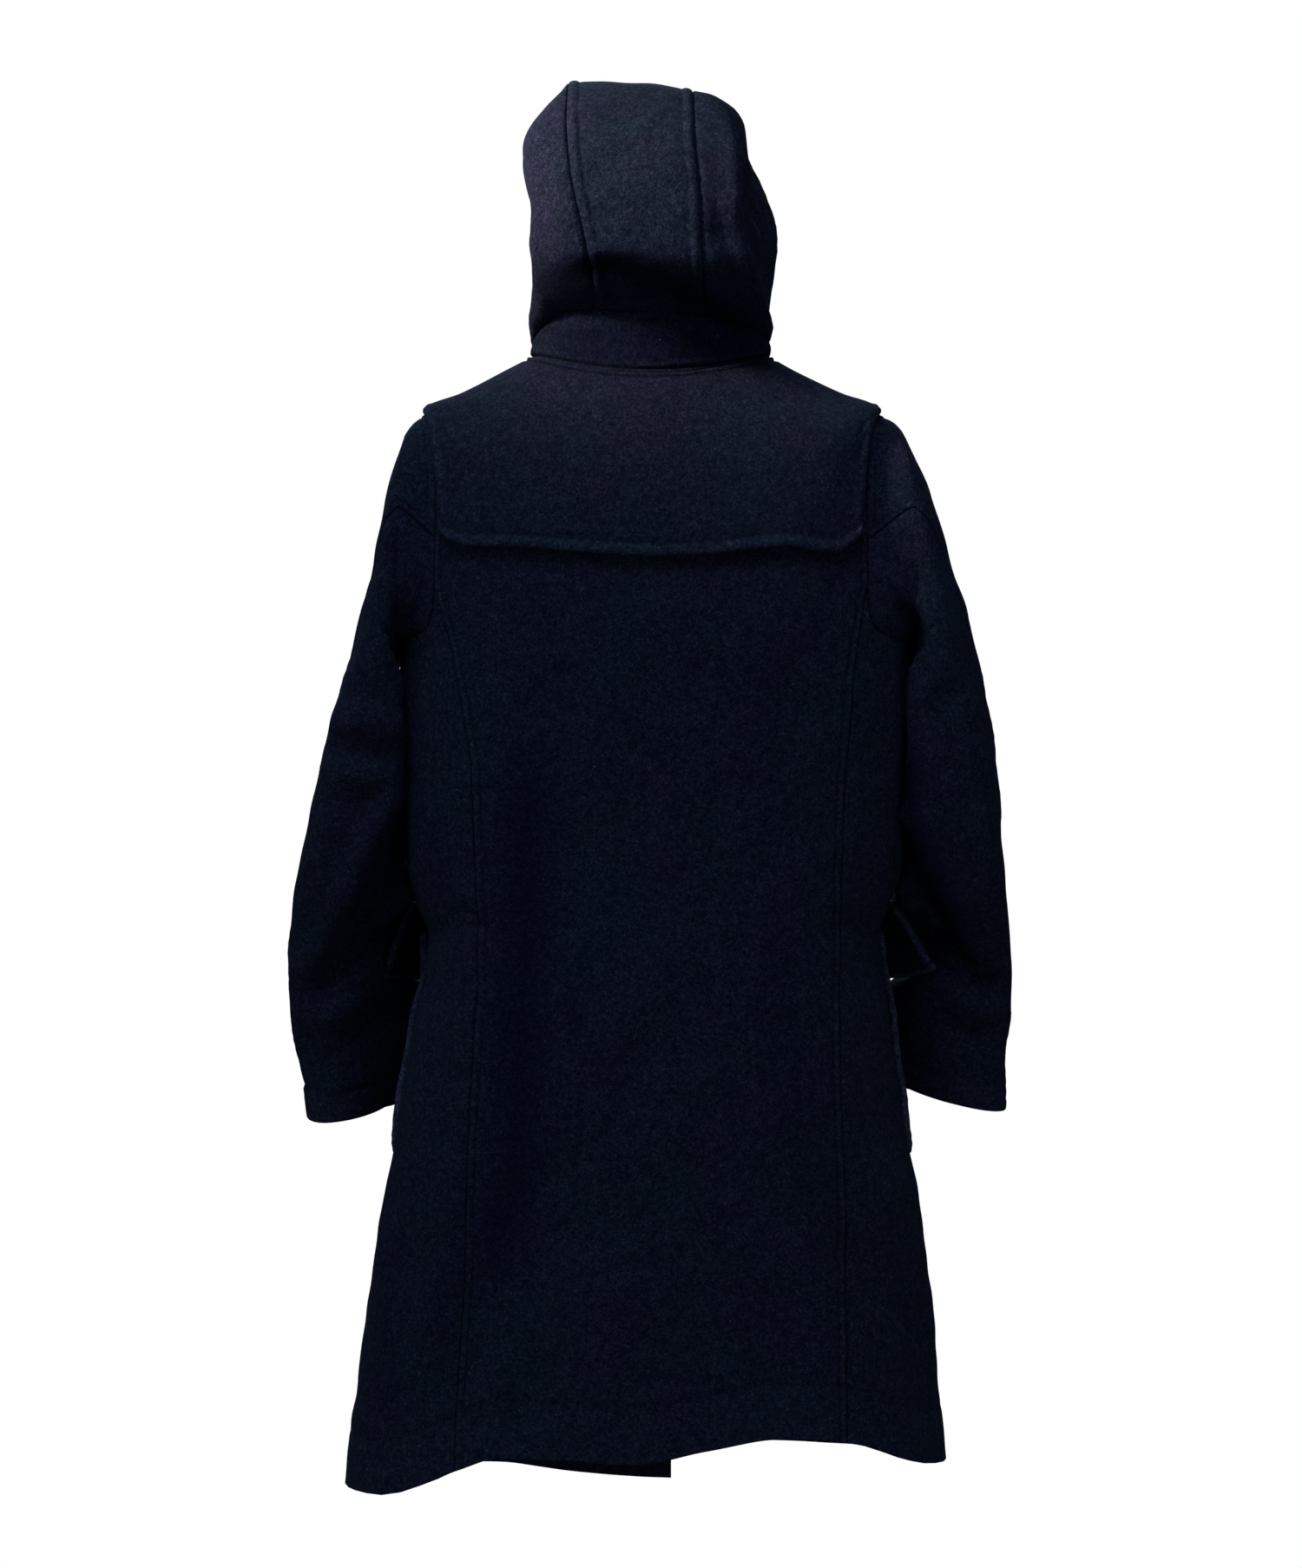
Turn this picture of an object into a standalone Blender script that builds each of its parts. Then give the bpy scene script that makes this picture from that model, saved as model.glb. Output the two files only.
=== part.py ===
"""Duffle coat, filled out as if worn: hollow body, two-piece sleeves, three-piece
hood on a stand, shoulder yoke, patch pockets with flaps, toggle closing.

Metres, +Z up, the front faces -Y and the wearer's left is +X.  The origin is the
middle of the neck base, where the coat rests on the wearer.

Every panel is a loft over one body surface, a sleeve surface or the hood surface,
so neighbours share their edge and stay 0.3 mm apart.
"""
import math

import bmesh
import bpy
import numpy as np
from mathutils import Vector
from mathutils.bvhtree import BVHTree

# ---------------------------------------------------------------- driving sizes
WALL = 0.003            # heavy wool cloth
DOUBLE = 0.006          # cloth turned double: pockets and flaps
GAP = 0.0003            # between neighbours
SEAM = 0.0009           # across the seams round an armhole and the hood's foot
SIDE_SEAM = 96.0        # degrees round from centre back
LEFT_LAP = 0.018        # how far the left (under) front passes the centre
RIGHT_LAP = 0.036       # how far the right (over) front passes the centre
STRIP_HALF = 0.052      # half width of the hood's centre strip

# Body, ring by ring.  z_* is the height at centre back, side and centre front;
# left, right are half widths; back, front are depths; n is the squareness.
BODY = {
    # ring:  z_back  z_side  z_front  left    right   back    front   n
    0:  (-0.021, -0.002, -0.066, 0.1000, 0.0990, 0.0720, 0.0880, 2.00),   # neck
    1:  (-0.047, -0.018, -0.090, 0.1280, 0.1280, 0.0880, 0.0980, 2.05),
    2:  (-0.078, -0.033, -0.116, 0.1590, 0.1600, 0.1000, 0.1060, 2.10),
    3:  (-0.112, -0.045, -0.142, 0.1890, 0.1910, 0.1080, 0.1110, 2.20),   # shoulder
    4:  (-0.150, -0.085, -0.170, 0.2030, 0.2070, 0.1125, 0.1150, 2.30),
    5:  (-0.190, -0.140, -0.200, 0.2080, 0.2140, 0.1150, 0.1180, 2.35),
    6:  (-0.228, -0.198, -0.232, 0.2105, 0.2190, 0.1160, 0.1190, 2.40),
    7:  (-0.262, -0.250, -0.262, 0.2125, 0.2215, 0.1155, 0.1190, 2.40),   # underarm
    8:  (-0.305, -0.305, -0.305, 0.2146, 0.2220, 0.1140, 0.1180, 2.40),
    9:  (-0.350, -0.350, -0.350, 0.2115, 0.2190, 0.1120, 0.1170, 2.40),
    10: (-0.395, -0.395, -0.395, 0.2095, 0.2168, 0.1100, 0.1160, 2.40),
    11: (-0.435, -0.435, -0.435, 0.2060, 0.2105, 0.1095, 0.1165, 2.40),   # waist
    12: (-0.462, -0.462, -0.462, 0.1980, 0.2000, 0.1110, 0.1170, 2.38),
    13: (-0.485, -0.485, -0.485, 0.1900, 0.1925, 0.1125, 0.1180, 2.36),   # pocket top
    14: (-0.515, -0.515, -0.515, 0.1900, 0.1960, 0.1150, 0.1190, 2.34),
    15: (-0.545, -0.545, -0.545, 0.1980, 0.2020, 0.1170, 0.1200, 2.32),
    16: (-0.590, -0.590, -0.590, 0.2065, 0.2080, 0.1190, 0.1220, 2.30),
    17: (-0.640, -0.640, -0.640, 0.2150, 0.2145, 0.1210, 0.1240, 2.30),
    18: (-0.690, -0.690, -0.690, 0.2245, 0.2255, 0.1230, 0.1260, 2.30),
    19: (-0.740, -0.740, -0.740, 0.2335, 0.2320, 0.1255, 0.1290, 2.30),
    20: (-0.790, -0.790, -0.790, 0.2410, 0.2385, 0.1285, 0.1320, 2.30),
    21: (-0.840, -0.840, -0.840, 0.2490, 0.2430, 0.1315, 0.1350, 2.30),
    22: (-0.880, -0.880, -0.880, 0.2560, 0.2465, 0.1345, 0.1380, 2.30),
    23: (-0.910, -0.910, -0.910, 0.2590, 0.2480, 0.1370, 0.1410, 2.30),   # hem
}
HEM_RING = 23
HIP_RING = 11            # the hem's slope fades out here

# Height of the hem round the coat, degrees from centre back toward the left side.
HEM = {
    -196: -0.936, -180: -0.938, -150: -0.938, -120: -0.935, -92: -0.929,
    -78: -0.926, -65: -0.922, -52: -0.9115, -43: -0.9005, -30: -0.8925,
    -20: -0.8910, -8: -0.8985, 3: -0.9086, 12: -0.9060, 25: -0.9070,
    35: -0.9190, 42: -0.9310, 57: -0.9447, 75: -0.9470, 92: -0.9490,
    120: -0.9510, 140: -0.9530, 152: -0.9560, 166: -0.9660, 176: -0.9715,
    186: -0.9735, 196: -0.9735,
}

# Half widths where panels end, seen from behind, by ring.
ARMHOLE_BACK = {3: None, 3.25: 0.1845, 4: 0.1790, 5: 0.1790, 6: 0.1800, 6.5: 0.1860, 7: None}
ARMHOLE_FRONT = {3: None, 3.25: 0.1830, 4: 0.1745, 5: 0.1715, 6: 0.1740, 6.5: 0.1830, 7: None}
PRINCESS_LEFT = {5.75: 0.1792, 6.5: 0.1690, 7.4: 0.1600, 8.4: 0.1510, 9.2: 0.1466, 11: 0.1444,
                 14: 0.1423, 16: 0.1466, 17.2: 0.1508, 19: 0.1530, 20.3: 0.1565, 22: 0.1608, 23: 0.1610}
PRINCESS_RIGHT = {5.75: 0.1782, 6.5: 0.1728, 7.4: 0.1672, 8.4: 0.1635, 9.2: 0.1601, 11: 0.1570,
                  14: 0.1565, 16: 0.1558, 17.2: 0.1575, 19: 0.1600, 20.3: 0.1601, 22: 0.1604, 23: 0.1608}
SPLIT_RING = 5.75        # where the princess seam leaves the armhole

# Broad folds of the back skirt: path from top to bottom, half width, depth (in = minus).
FOLDS = [
    # x_top   z_top    x_mid   z_mid    x_low   z_low    width   depth
    (0.103, -0.480, 0.100, -0.680, 0.180, -0.900, 0.028, -0.007),
    (0.060, -0.640, 0.085, -0.800, 0.125, -0.910, 0.022, -0.003),
    (0.030, -0.720, 0.030, -0.830, 0.030, -0.910, 0.045, 0.006),
    (-0.135, -0.700, -0.175, -0.790, -0.222, -0.860, 0.016, -0.003),
    (-0.090, -0.780, -0.100, -0.860, -0.105, -0.920, 0.030, -0.004),
]

# Yoke edges.  Bottom at the back by x, side edges by height.
YOKE_BOTTOM = {-0.175: -0.1600, -0.162: -0.1620, -0.150: -0.1700, -0.134: -0.1692, -0.110: -0.1657, -0.085: -0.1678,
               -0.045: -0.1728, -0.004: -0.1742, 0.050: -0.1714, 0.104: -0.1664, 0.147: -0.1643,
               0.160: -0.1600, 0.175: -0.1560}
YOKE_FRONT_BOTTOM = -0.205
YOKE_SIDE = {-0.170: 0.1600, -0.155: 0.1625, -0.144: 0.1645, -0.118: 0.1680, -0.093: 0.1730,
             -0.0725: 0.1765, -0.055: 0.1840, -0.043: 0.1880, 0.0: 0.20}

# Sleeves.  Each ring is an ellipse through an outer point T and an inner point U,
# with half depths toward the back (plus a drop) and the front, turned by yaw.
SLEEVE_LEFT = [
    # Tx      Ty      Tz      Ux      Uy      Uz     back   drop    front  yaw
    (0.2040, 0.000, -0.0630, 0.2190, 0.000, -0.2465, 0.0720, 0.000, 0.0720, 0),
    (0.2180, 0.000, -0.1080, 0.2205, 0.000, -0.2570, 0.0770, 0.000, 0.0770, 0),
    (0.2275, -0.002, -0.1650, 0.2210, -0.001, -0.2680, 0.0790, 0.000, 0.0790, 0),
    (0.2430, -0.005, -0.2220, 0.2205, -0.003, -0.2800, 0.0790, 0.000, 0.0790, 0),
    (0.2575, -0.008, -0.2800, 0.2210, -0.006, -0.3000, 0.0780, 0.000, 0.0780, 2),
    (0.2750, -0.012, -0.3450, 0.2200, -0.010, -0.3300, 0.0760, 0.000, 0.0760, 5),
    (0.2880, -0.018, -0.4080, 0.2185, -0.016, -0.3680, 0.0720, 0.004, 0.0740, 8),
    (0.2985, -0.028, -0.4700, 0.2200, -0.026, -0.4120, 0.0640, 0.004, 0.0700, 10),
    (0.3040, -0.038, -0.5170, 0.2215, -0.048, -0.4620, 0.0530, 0.000, 0.0640, 10),
    (0.3045, -0.048, -0.5500, 0.2200, -0.064, -0.5080, 0.0520, 0.004, 0.0580, 10),
    (0.3000, -0.058, -0.5850, 0.2110, -0.078, -0.5540, 0.0500, 0.008, 0.0540, 10),
    (0.2950, -0.064, -0.6150, 0.2150, -0.084, -0.5980, 0.0490, 0.010, 0.0510, 10),
    (0.2916, -0.068, -0.6400, 0.2230, -0.088, -0.6300, 0.0485, 0.012, 0.0500, 10),
]
SLEEVE_RIGHT = [
    (0.2110, 0.000, -0.0630, 0.2280, 0.000, -0.2465, 0.0720, 0.000, 0.0720, 0),
    (0.2310, 0.000, -0.1080, 0.2290, 0.000, -0.2570, 0.0770, 0.000, 0.0770, 0),
    (0.2473, -0.002, -0.1650, 0.2290, -0.001, -0.2680, 0.0790, 0.000, 0.0790, 0),
    (0.2655, -0.005, -0.2220, 0.2270, -0.003, -0.2800, 0.0790, 0.000, 0.0790, 0),
    (0.2795, -0.008, -0.2800, 0.2265, -0.006, -0.3000, 0.0780, 0.000, 0.0780, 2),
    (0.2865, -0.012, -0.3450, 0.2255, -0.010, -0.3300, 0.0760, 0.000, 0.0760, 5),
    (0.2915, -0.018, -0.4050, 0.2250, -0.016, -0.3700, 0.0720, 0.004, 0.0740, 8),
    (0.2975, -0.028, -0.4600, 0.2280, -0.026, -0.4150, 0.0640, 0.004, 0.0700, 10),
    (0.3025, -0.038, -0.5050, 0.2290, -0.048, -0.4600, 0.0530, 0.000, 0.0640, 10),
    (0.3055, -0.048, -0.5420, 0.2370, -0.066, -0.5080, 0.0440, 0.004, 0.0580, 10),
    (0.3025, -0.058, -0.5800, 0.2130, -0.078, -0.5480, 0.0500, 0.006, 0.0540, 10),
    (0.3010, -0.064, -0.6120, 0.2160, -0.084, -0.5930, 0.0490, 0.006, 0.0510, 10),
    (0.3015, -0.068, -0.6370, 0.2220, -0.088, -0.6200, 0.0485, 0.006, 0.0500, 10),
]
# Where the sleeve's two seams lie, in degrees round from the outer point (90 is back).
BACK_SEAM = {0: 90, 1: 76, 2: 62, 3: 48, 4: 36, 5: 27, 7: 18, 13: 16}
FRONT_SEAM = {0: -112.02, 4: -125, 8: -138, 13: -142}
# The upper arm rests against the body: share by ring, and how far in it reaches by height.
REST = {3: 0.0, 4: 0.9, 5: 1.0, 8.5: 1.0, 9.3: 0.0}
REST_LEFT = {-0.50: 0.1990, -0.462: 0.1995, -0.446: 0.2009, -0.415: 0.2050, -0.362: 0.2067, -0.312: 0.2090, -0.25: 0.2090}
REST_RIGHT = {-0.50: 0.1930, -0.455: 0.1950, -0.429: 0.2050, -0.388: 0.2115, -0.313: 0.2165, -0.25: 0.2160}
REST_GAP = 0.0042

# Hood.  Profile of the centre strip: y, z from the front edge over the top to the stand.
HOOD_PROFILE = [
    # along    y       z
    (0.00, -0.105, 0.2000), (0.10, -0.072, 0.2190), (0.20, -0.030, 0.2310), (0.32, 0.020, 0.2350),
    (0.42, 0.062, 0.2270), (0.52, 0.098, 0.2040), (0.62, 0.124, 0.1720), (0.72, 0.139, 0.1330),
    (0.80, 0.1435, 0.1000), (0.87, 0.1400, 0.0720), (0.93, 0.1220, 0.0500), (0.97, 0.1000, 0.0370),
    (1.00, 0.0850, 0.0290),
]
HOOD_CROWN = 0.50        # where the side panel's top edge turns into its back edge
HOOD_LEAN = 0.017        # the hood leans to the left by this much at its top
# Side panels: half width of the panel's middle by height, and the front edge.
HOOD_SIDE_LEFT = {0.00: 0.100, 0.03: 0.1010, 0.06: 0.0990, 0.10: 0.0985, 0.14: 0.1030, 0.165: 0.1070, 0.187: 0.0990,
                  0.198: 0.0900, 0.209: 0.0790, 0.22: 0.0715, 0.23: 0.0690}
HOOD_SIDE_RIGHT = {0.00: 0.100, 0.03: 0.1000, 0.06: 0.0930, 0.10: 0.0850, 0.14: 0.0800, 0.165: 0.0800, 0.187: 0.0785,
                   0.198: 0.0740, 0.209: 0.0620, 0.2168: 0.0500, 0.2205: 0.0430, 0.228: 0.0370}
HOOD_FRONT_LEFT = [
    # up      x       y       z
    (0.00, 0.0260, -0.0870, -0.0550), (0.15, 0.0600, -0.0960, -0.0120), (0.35, 0.0900, -0.1050, 0.0500),
    (0.60, 0.1000, -0.1110, 0.1160), (0.80, 0.0960, -0.1110, 0.1640), (0.92, 0.0830, -0.1080, 0.1900),
    (1.00, 0.0690, -0.1050, 0.2000),
]
HOOD_FRONT_RIGHT = [
    (0.00, 0.0260, -0.0870, -0.0550), (0.15, 0.0640, -0.0960, -0.0120), (0.35, 0.1000, -0.1050, 0.0500),
    (0.60, 0.1110, -0.1080, 0.1160), (0.80, 0.0990, -0.1080, 0.1600), (0.92, 0.0720, -0.1060, 0.1920),
    (1.00, 0.0350, -0.1050, 0.2000),
]
STAND_END = 163.0        # the stand and hood end this far round from centre back
STAND_TOP = {-163: 0.012, -130: 0.010, -90: 0.011, -60: 0.026, -35: 0.040, -15: 0.048, 0: 0.050,
             20: 0.050, 40: 0.046, 60: 0.030, 90: 0.009, 130: 0.010, 163: 0.012}
STAND_LEAN = {-163: 0.001, -90: 0.003, -40: 0.008, 0: 0.012, 40: 0.008, 90: 0.003, 163: 0.001}

# Pockets: angle round at the rear and front edge, heights of top and bottom.
POCKET = {"rear": 97.5, "front": 150.0, "top": -0.4850, "bottom": -0.6770}
FLAP_TOP = -0.4600
FLAP_LENGTH = 0.070
FLAP_SWING = {"left": (21.0, 12.0), "right": (33.0, 12.0)}   # rear, front, degrees out

TOGGLE_Z = (-0.245, -0.355, -0.465, -0.575)
TOGGLE_X = 0.004
TOGGLE_LENGTH = 0.050
TOGGLE_RADIUS = 0.0065
GROOVE_RADIUS = 0.0042
CORD_RADIUS = 0.0019
PATCH = {"width": 0.036, "height": 0.040, "thick": 0.0020}


# ---------------------------------------------------------------- tables to curves
class Curve:
    """Shape-preserving cubic through a table."""

    def __init__(self, xs, ys):
        self.xs, self.ys = np.asarray(xs, float), np.asarray(ys, float)
        self.h = np.diff(self.xs)
        d = np.diff(self.ys) / self.h
        self.m = np.zeros_like(self.ys)
        self.m[0], self.m[-1] = d[0], d[-1]
        for i in range(1, len(self.xs) - 1):
            if d[i - 1] * d[i] > 0:
                w1, w2 = 2 * self.h[i] + self.h[i - 1], self.h[i] + 2 * self.h[i - 1]
                self.m[i] = (w1 + w2) / (w1 / d[i - 1] + w2 / d[i])

    def __call__(self, x):
        x = np.clip(np.asarray(x, float), self.xs[0], self.xs[-1])
        i = np.clip(np.searchsorted(self.xs, x) - 1, 0, len(self.xs) - 2)
        h = self.h[i]
        t = (x - self.xs[i]) / h
        return ((1 + 2 * t) * (1 - t) ** 2 * self.ys[i] + t * (1 - t) ** 2 * h * self.m[i]
                + t * t * (3 - 2 * t) * self.ys[i + 1] + t * t * (t - 1) * h * self.m[i + 1])


CURVES = {}


def look(rows, x):
    if id(rows) not in CURVES:
        keys = sorted(rows)
        CURVES[id(rows)] = Curve(keys, [rows[k] for k in keys])
    return CURVES[id(rows)](x)


def columns(rows):
    """One curve for each column of a list of rows, over the row number from 1."""
    return [Curve(range(1, len(rows) + 1), [row[i] for row in rows]) for i in range(len(rows[0]))]


RING = [Curve(sorted(BODY), [BODY[k][i] for k in sorted(BODY)]) for i in range(8)]


def ring(s, column):
    return RING[column](s)


def smooth(t):
    t = np.clip(t, 0, 1)
    return t * t * (3 - 2 * t)


def unit(v):
    return v / np.maximum(np.linalg.norm(v, axis=-1, keepdims=True), 1e-12)


# ---------------------------------------------------------------- the body surface
def fold_relief(x, z):
    out = np.zeros_like(x)
    for xt, zt, xm, zm, xl, zl, width, depth in FOLDS:
        path = Curve([zl, zm, zt], [xl, xm, xt])(z)
        t = np.clip(3 * (zt - z) / (zt - zl), 0, 1)
        out = out + depth * np.exp(-((x - path) / width) ** 2) * t * t * (3 - 2 * t)
    return out


def body(theta, s):
    """Point of the body's outer face; theta in degrees from centre back, + to the left."""
    theta, s = np.broadcast_arrays(np.asarray(theta, float), np.asarray(s, float))
    a = np.radians(theta)
    si, co = np.sin(a), np.cos(a)
    e = 2.0 / ring(s, 7)
    half = np.where(si >= 0, ring(s, 3), ring(s, 4))
    x = half * np.sign(si) * np.abs(si) ** e
    deep = np.where(co >= 0, ring(s, 5), ring(s, 6))
    y = deep * np.sign(co) * np.abs(co) ** e
    w = si ** 2
    z = ring(s, 1) * w + np.where(co >= 0, ring(s, 0), ring(s, 2)) * (1 - w)
    fall = np.clip((s - HIP_RING) / (HEM_RING - HIP_RING), 0, 1) ** 1.5
    z = z + (look(HEM, theta) - BODY[HEM_RING][0]) * fall
    y = y + fold_relief(x, z) * np.clip(co * 3, 0, 1)
    return np.stack([x, y, z], axis=-1)


def body_normal(theta, s):
    theta, s = np.broadcast_arrays(np.asarray(theta, float), np.asarray(s, float))
    a = body(theta + 0.4, s) - body(theta - 0.4, s)
    b = body(theta, np.clip(s + 0.01, 0, HEM_RING)) - body(theta, np.clip(s - 0.01, 0, HEM_RING))
    return unit(np.cross(a, b))


def angle_of(x, s):
    """Angle (0..90) where the ring has half width x; x < 0 is the right side."""
    x, s = np.broadcast_arrays(np.asarray(x, float), np.asarray(s, float))
    half = np.where(x >= 0, ring(s, 3), ring(s, 4))
    return np.sign(x) * np.degrees(np.arcsin(np.clip(np.abs(x) / half, 0, 1) ** (ring(s, 7) / 2.0)))


def nudge(theta, s, move):
    """Angle moved along the ring by a length."""
    per = np.linalg.norm(body(theta + 0.2, s) - body(theta - 0.2, s), axis=-1) / 0.4
    return theta + move / np.maximum(per, 1e-6)


EDGES = {}


def edge_angle(side, back, s):
    """Armhole edge as an angle from centre back, for rings 3 to 7."""
    if (side, back) not in EDGES:
        rows = ARMHOLE_BACK if back else ARMHOLE_FRONT
        keys = sorted(rows)
        EDGES[side, back] = Curve(keys, [90.0 if rows[k] is None else abs(float(angle_of(rows[k] * side, k))) for k in keys])
    v = EDGES[side, back](s)
    return v if back else 180.0 - v


# ---------------------------------------------------------------- mesh building
COLLECTION = bpy.data.collections.new("duffle_coat")
WOOL = (0.012, 0.016, 0.032)
LEATHER = (0.035, 0.022, 0.016)
CORD = (0.020, 0.018, 0.020)
HORN = (0.11, 0.055, 0.026)


def clear_scene():
    for obj in list(bpy.data.objects):
        bpy.data.objects.remove(obj, do_unlink=True)
    bpy.context.scene.collection.children.link(COLLECTION)


def material(name, color, roughness):
    mat = bpy.data.materials.new(name)
    mat.use_nodes = True
    shader = mat.node_tree.nodes["Principled BSDF"]
    shader.inputs["Base Color"].default_value = (*color, 1.0)
    shader.inputs["Roughness"].default_value = roughness
    return mat


def grid_faces(rows, cols):
    faces = []
    for r in range(rows - 1):
        for c in range(cols - 1):
            i = r * cols + c
            faces += [(i, i + 1, i + cols + 1), (i, i + cols + 1, i + cols)]
    return faces


def earlier(p, q):
    """Order of two neighbouring points, the same for the pieces on both sides of a seam."""
    d = np.asarray(q) - np.asarray(p)
    for axis in (2, 0, 1):
        if abs(d[axis]) > 0.4 * np.linalg.norm(d):
            return d[axis] > 0
    return d[2] > 0


def solid(name, outer, inner, faces, color=WOOL, roughness=0.95):
    """Closed wall from the points of its outer face, the matching inner points and the outer triangles."""
    n = len(outer)
    edges = {(f[i], f[(i + 1) % 3]) for f in faces for i in range(3)}
    tris = list(faces) + [(c + n, b + n, a + n) for a, b, c in faces]
    for a, b in sorted(e for e in edges if (e[1], e[0]) not in edges):
        if earlier(outer[a], outer[b]):
            tris += [(b, a, b + n), (a, a + n, b + n)]
        else:
            tris += [(b, a, a + n), (b, a + n, b + n)]
    mesh = bpy.data.meshes.new(name)
    mesh.from_pydata([tuple(p) for p in outer] + [tuple(p) for p in inner], [], tris)
    bm = bmesh.new()
    bm.from_mesh(mesh)
    bmesh.ops.recalc_face_normals(bm, faces=bm.faces)
    bm.to_mesh(mesh)
    bm.free()
    obj = bpy.data.objects.new(name, mesh)
    COLLECTION.objects.link(obj)
    mesh.materials.append(material(name, color, roughness))
    return obj


def cloth(name, outer, inner, color=WOOL, roughness=0.95):
    """A wall of cloth from two grids of points, rows by columns."""
    outer, inner = np.asarray(outer, float), np.asarray(inner, float)
    return solid(name, outer.reshape(-1, 3), inner.reshape(-1, 3), grid_faces(*outer.shape[:2]), color, roughness)


def mitre(one, other):
    """Direction from the inner to the outer corner where two walls with these normals meet."""
    return (one + other) / np.maximum(1 + (one * other).sum(axis=-1, keepdims=True), 0.6)


# ---------------------------------------------------------------- armholes and the sleeve surface
HOLE_BACK = [3, 3.25, 3.6, 4, 4.5, 5, 5.75, 5.87, 6.5, 6.85, 7]
HOLE_FRONT = [3, 3.25, 3.6, 4, 4.5, 5, 5.75, 6.5, 6.85, 7]
LOW_RINGS = [8, 9.5, 11, 12, 13, 14, 15.5, 17, 18.6, 20.2, 21.8, 23]
BACK_RINGS = [0, 1, 2] + HOLE_BACK + LOW_RINGS
FRONT_RINGS = [0, 1, 2] + HOLE_FRONT + LOW_RINGS
SLEEVE_COLUMNS = {1: columns(SLEEVE_LEFT), -1: columns(SLEEVE_RIGHT)}
HOLES = {}


def turn_of(s):
    """Angle round the armhole of a body ring: 0 at the shoulder, 180 at the underarm."""
    return math.degrees(math.acos(max(-1.0, min(1.0, (5.0 - s) / 2.0))))


def body_half(side, y, z):
    """Half width of the body at a depth and a height below the underarm."""
    steps = np.linspace(6.5, 15.0, 120)
    s = np.interp(-z, -ring(steps, 1), steps)
    deep = np.where(y >= 0, ring(s, 5), ring(s, 6))
    e = 2.0 / ring(s, 7)
    co = np.clip(np.abs(y) / deep, 0, 1) ** (1 / e)
    return ring(s, 3 if side > 0 else 4) * (1 - co * co) ** (e / 2)


def sleeve_oval(side, k, phi):
    a = np.radians(np.asarray(phi, float))
    tx, ty, tz, ux, uy, uz, qb, drop, qf, yaw = [float(c(k)) for c in SLEEVE_COLUMNS[side]]
    t, u = np.array([tx, ty, tz]), np.array([ux, uy, uz])
    centre, arm = (t + u) / 2, (t - u) / 2
    yw = math.radians(yaw)
    e = 2 / 2.15
    c = np.sign(np.cos(a)) * np.abs(np.cos(a)) ** e
    s = np.sign(np.sin(a)) * np.abs(np.sin(a)) ** e
    deep = np.where(s >= 0, qb, qf)
    lean = np.where(s >= 0, -drop / qb, drop / qf)
    back = np.stack([np.full_like(s, math.sin(yw)), np.full_like(s, math.cos(yw)), lean], axis=-1)
    p = centre + arm * c[..., None] + back * (deep * s)[..., None]
    share = float(look(REST, k))
    if share > 0:
        turn = np.asarray(phi, float) % 360.0
        reach = np.maximum(body_half(side, p[..., 1], p[..., 2]) + REST_GAP, look(REST_LEFT if side > 0 else REST_RIGHT, p[..., 2]))
        w = smooth((turn - 84) / 34) * smooth((208 - turn) / 28) * smooth((p[..., 1] + 0.012) / 0.02)
        p[..., 0] += np.minimum(reach - p[..., 0], 0) * w * share
    p[..., 0] *= side
    return p


def hole(side):
    """The seam of body and sleeve at the panels' own rings: angle, point, run, mitre, joint, aim."""
    if side in HOLES:
        return HOLES[side]
    rows = [(-turn_of(s), False, s) for s in reversed(HOLE_FRONT)] + [(turn_of(s), True, s) for s in HOLE_BACK[1:]]
    phi = np.array([r[0] for r in rows])
    ang = [90.0 * side if s in (3, 7) else side * float(edge_angle(side, back, s)) for _, back, s in rows]
    p = np.array([body(a, s) for a, (_, _, s) in zip(ang, rows)])
    n = np.array([body_normal(a, s) for a, (_, _, s) in zip(ang, rows)])
    run = np.zeros_like(p)
    run[1:-1] = unit(p[2:] - p[1:-1]) + unit(p[1:-1] - p[:-2])
    run[0] = run[-1] = unit(p[1] - p[0]) + unit(p[-1] - p[-2])
    run = unit(run)
    away = unit(np.cross(n, run))
    mid = int(np.argmin(np.abs(phi)))
    if away[mid, 0] * side < 0:
        away = -away
    first = sleeve_oval(side, 1.0, phi)
    w = smooth((np.cos(np.radians(phi)) + 0.35) / 0.6)[:, None]
    aim = unit(away * w + unit(first - p) * (1 - w))
    aim = unit(aim - run * (aim * run).sum(axis=-1, keepdims=True))
    sn = unit(np.cross(run, aim))
    if (sn[mid] * n[mid]).sum() < 0:
        sn = -sn
    m = mitre(n, sn)
    j = unit(np.cross(run, m))
    if (j[mid] * away[mid]).sum() < 0:
        j = -j
    HOLES[side] = (phi, p, run, m, j, aim)
    return HOLES[side]


def hole_edge(side, back, s, way):
    """Outer and inner point of the edge beside the armhole: way -1 on the body."""
    phi, p, run, m, j, _ = hole(side)
    at = turn_of(s) if back else -turn_of(s)
    i = int(np.argmin(np.abs(phi - at)))
    q = p[i] + way * j[i] * SEAM / 2
    if s in (3, 7):
        q = q + run[i] * GAP / 2 * (1 if (s == 3) == back else -1)
    return q, q - WALL * m[i]


def sleeve(side, k, phi):
    """Point of the sleeve's outer face: k 0 at the armhole, 13 at the cuff."""
    phi = np.asarray(phi, float)
    if k >= 1:
        return sleeve_oval(side, k, phi)
    st, p, _, _, _, aims = hole(side)
    w = (phi + 180.0) % 360.0 - 180.0
    start = np.stack([np.interp(w, st, p[:, i]) for i in range(3)], axis=-1)
    aim = unit(np.stack([np.interp(w, st, aims[:, i]) for i in range(3)], axis=-1))
    first = sleeve_oval(side, 1.0, phi)
    m0 = aim * np.linalg.norm(first - start, axis=-1, keepdims=True)
    m1 = (sleeve_oval(side, 2.0, phi) - start) / 2
    t = k
    return ((1 + 2 * t) * (1 - t) ** 2 * start + t * (1 - t) ** 2 * m0
            + t * t * (3 - 2 * t) * first + t * t * (t - 1) * m1)


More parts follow.
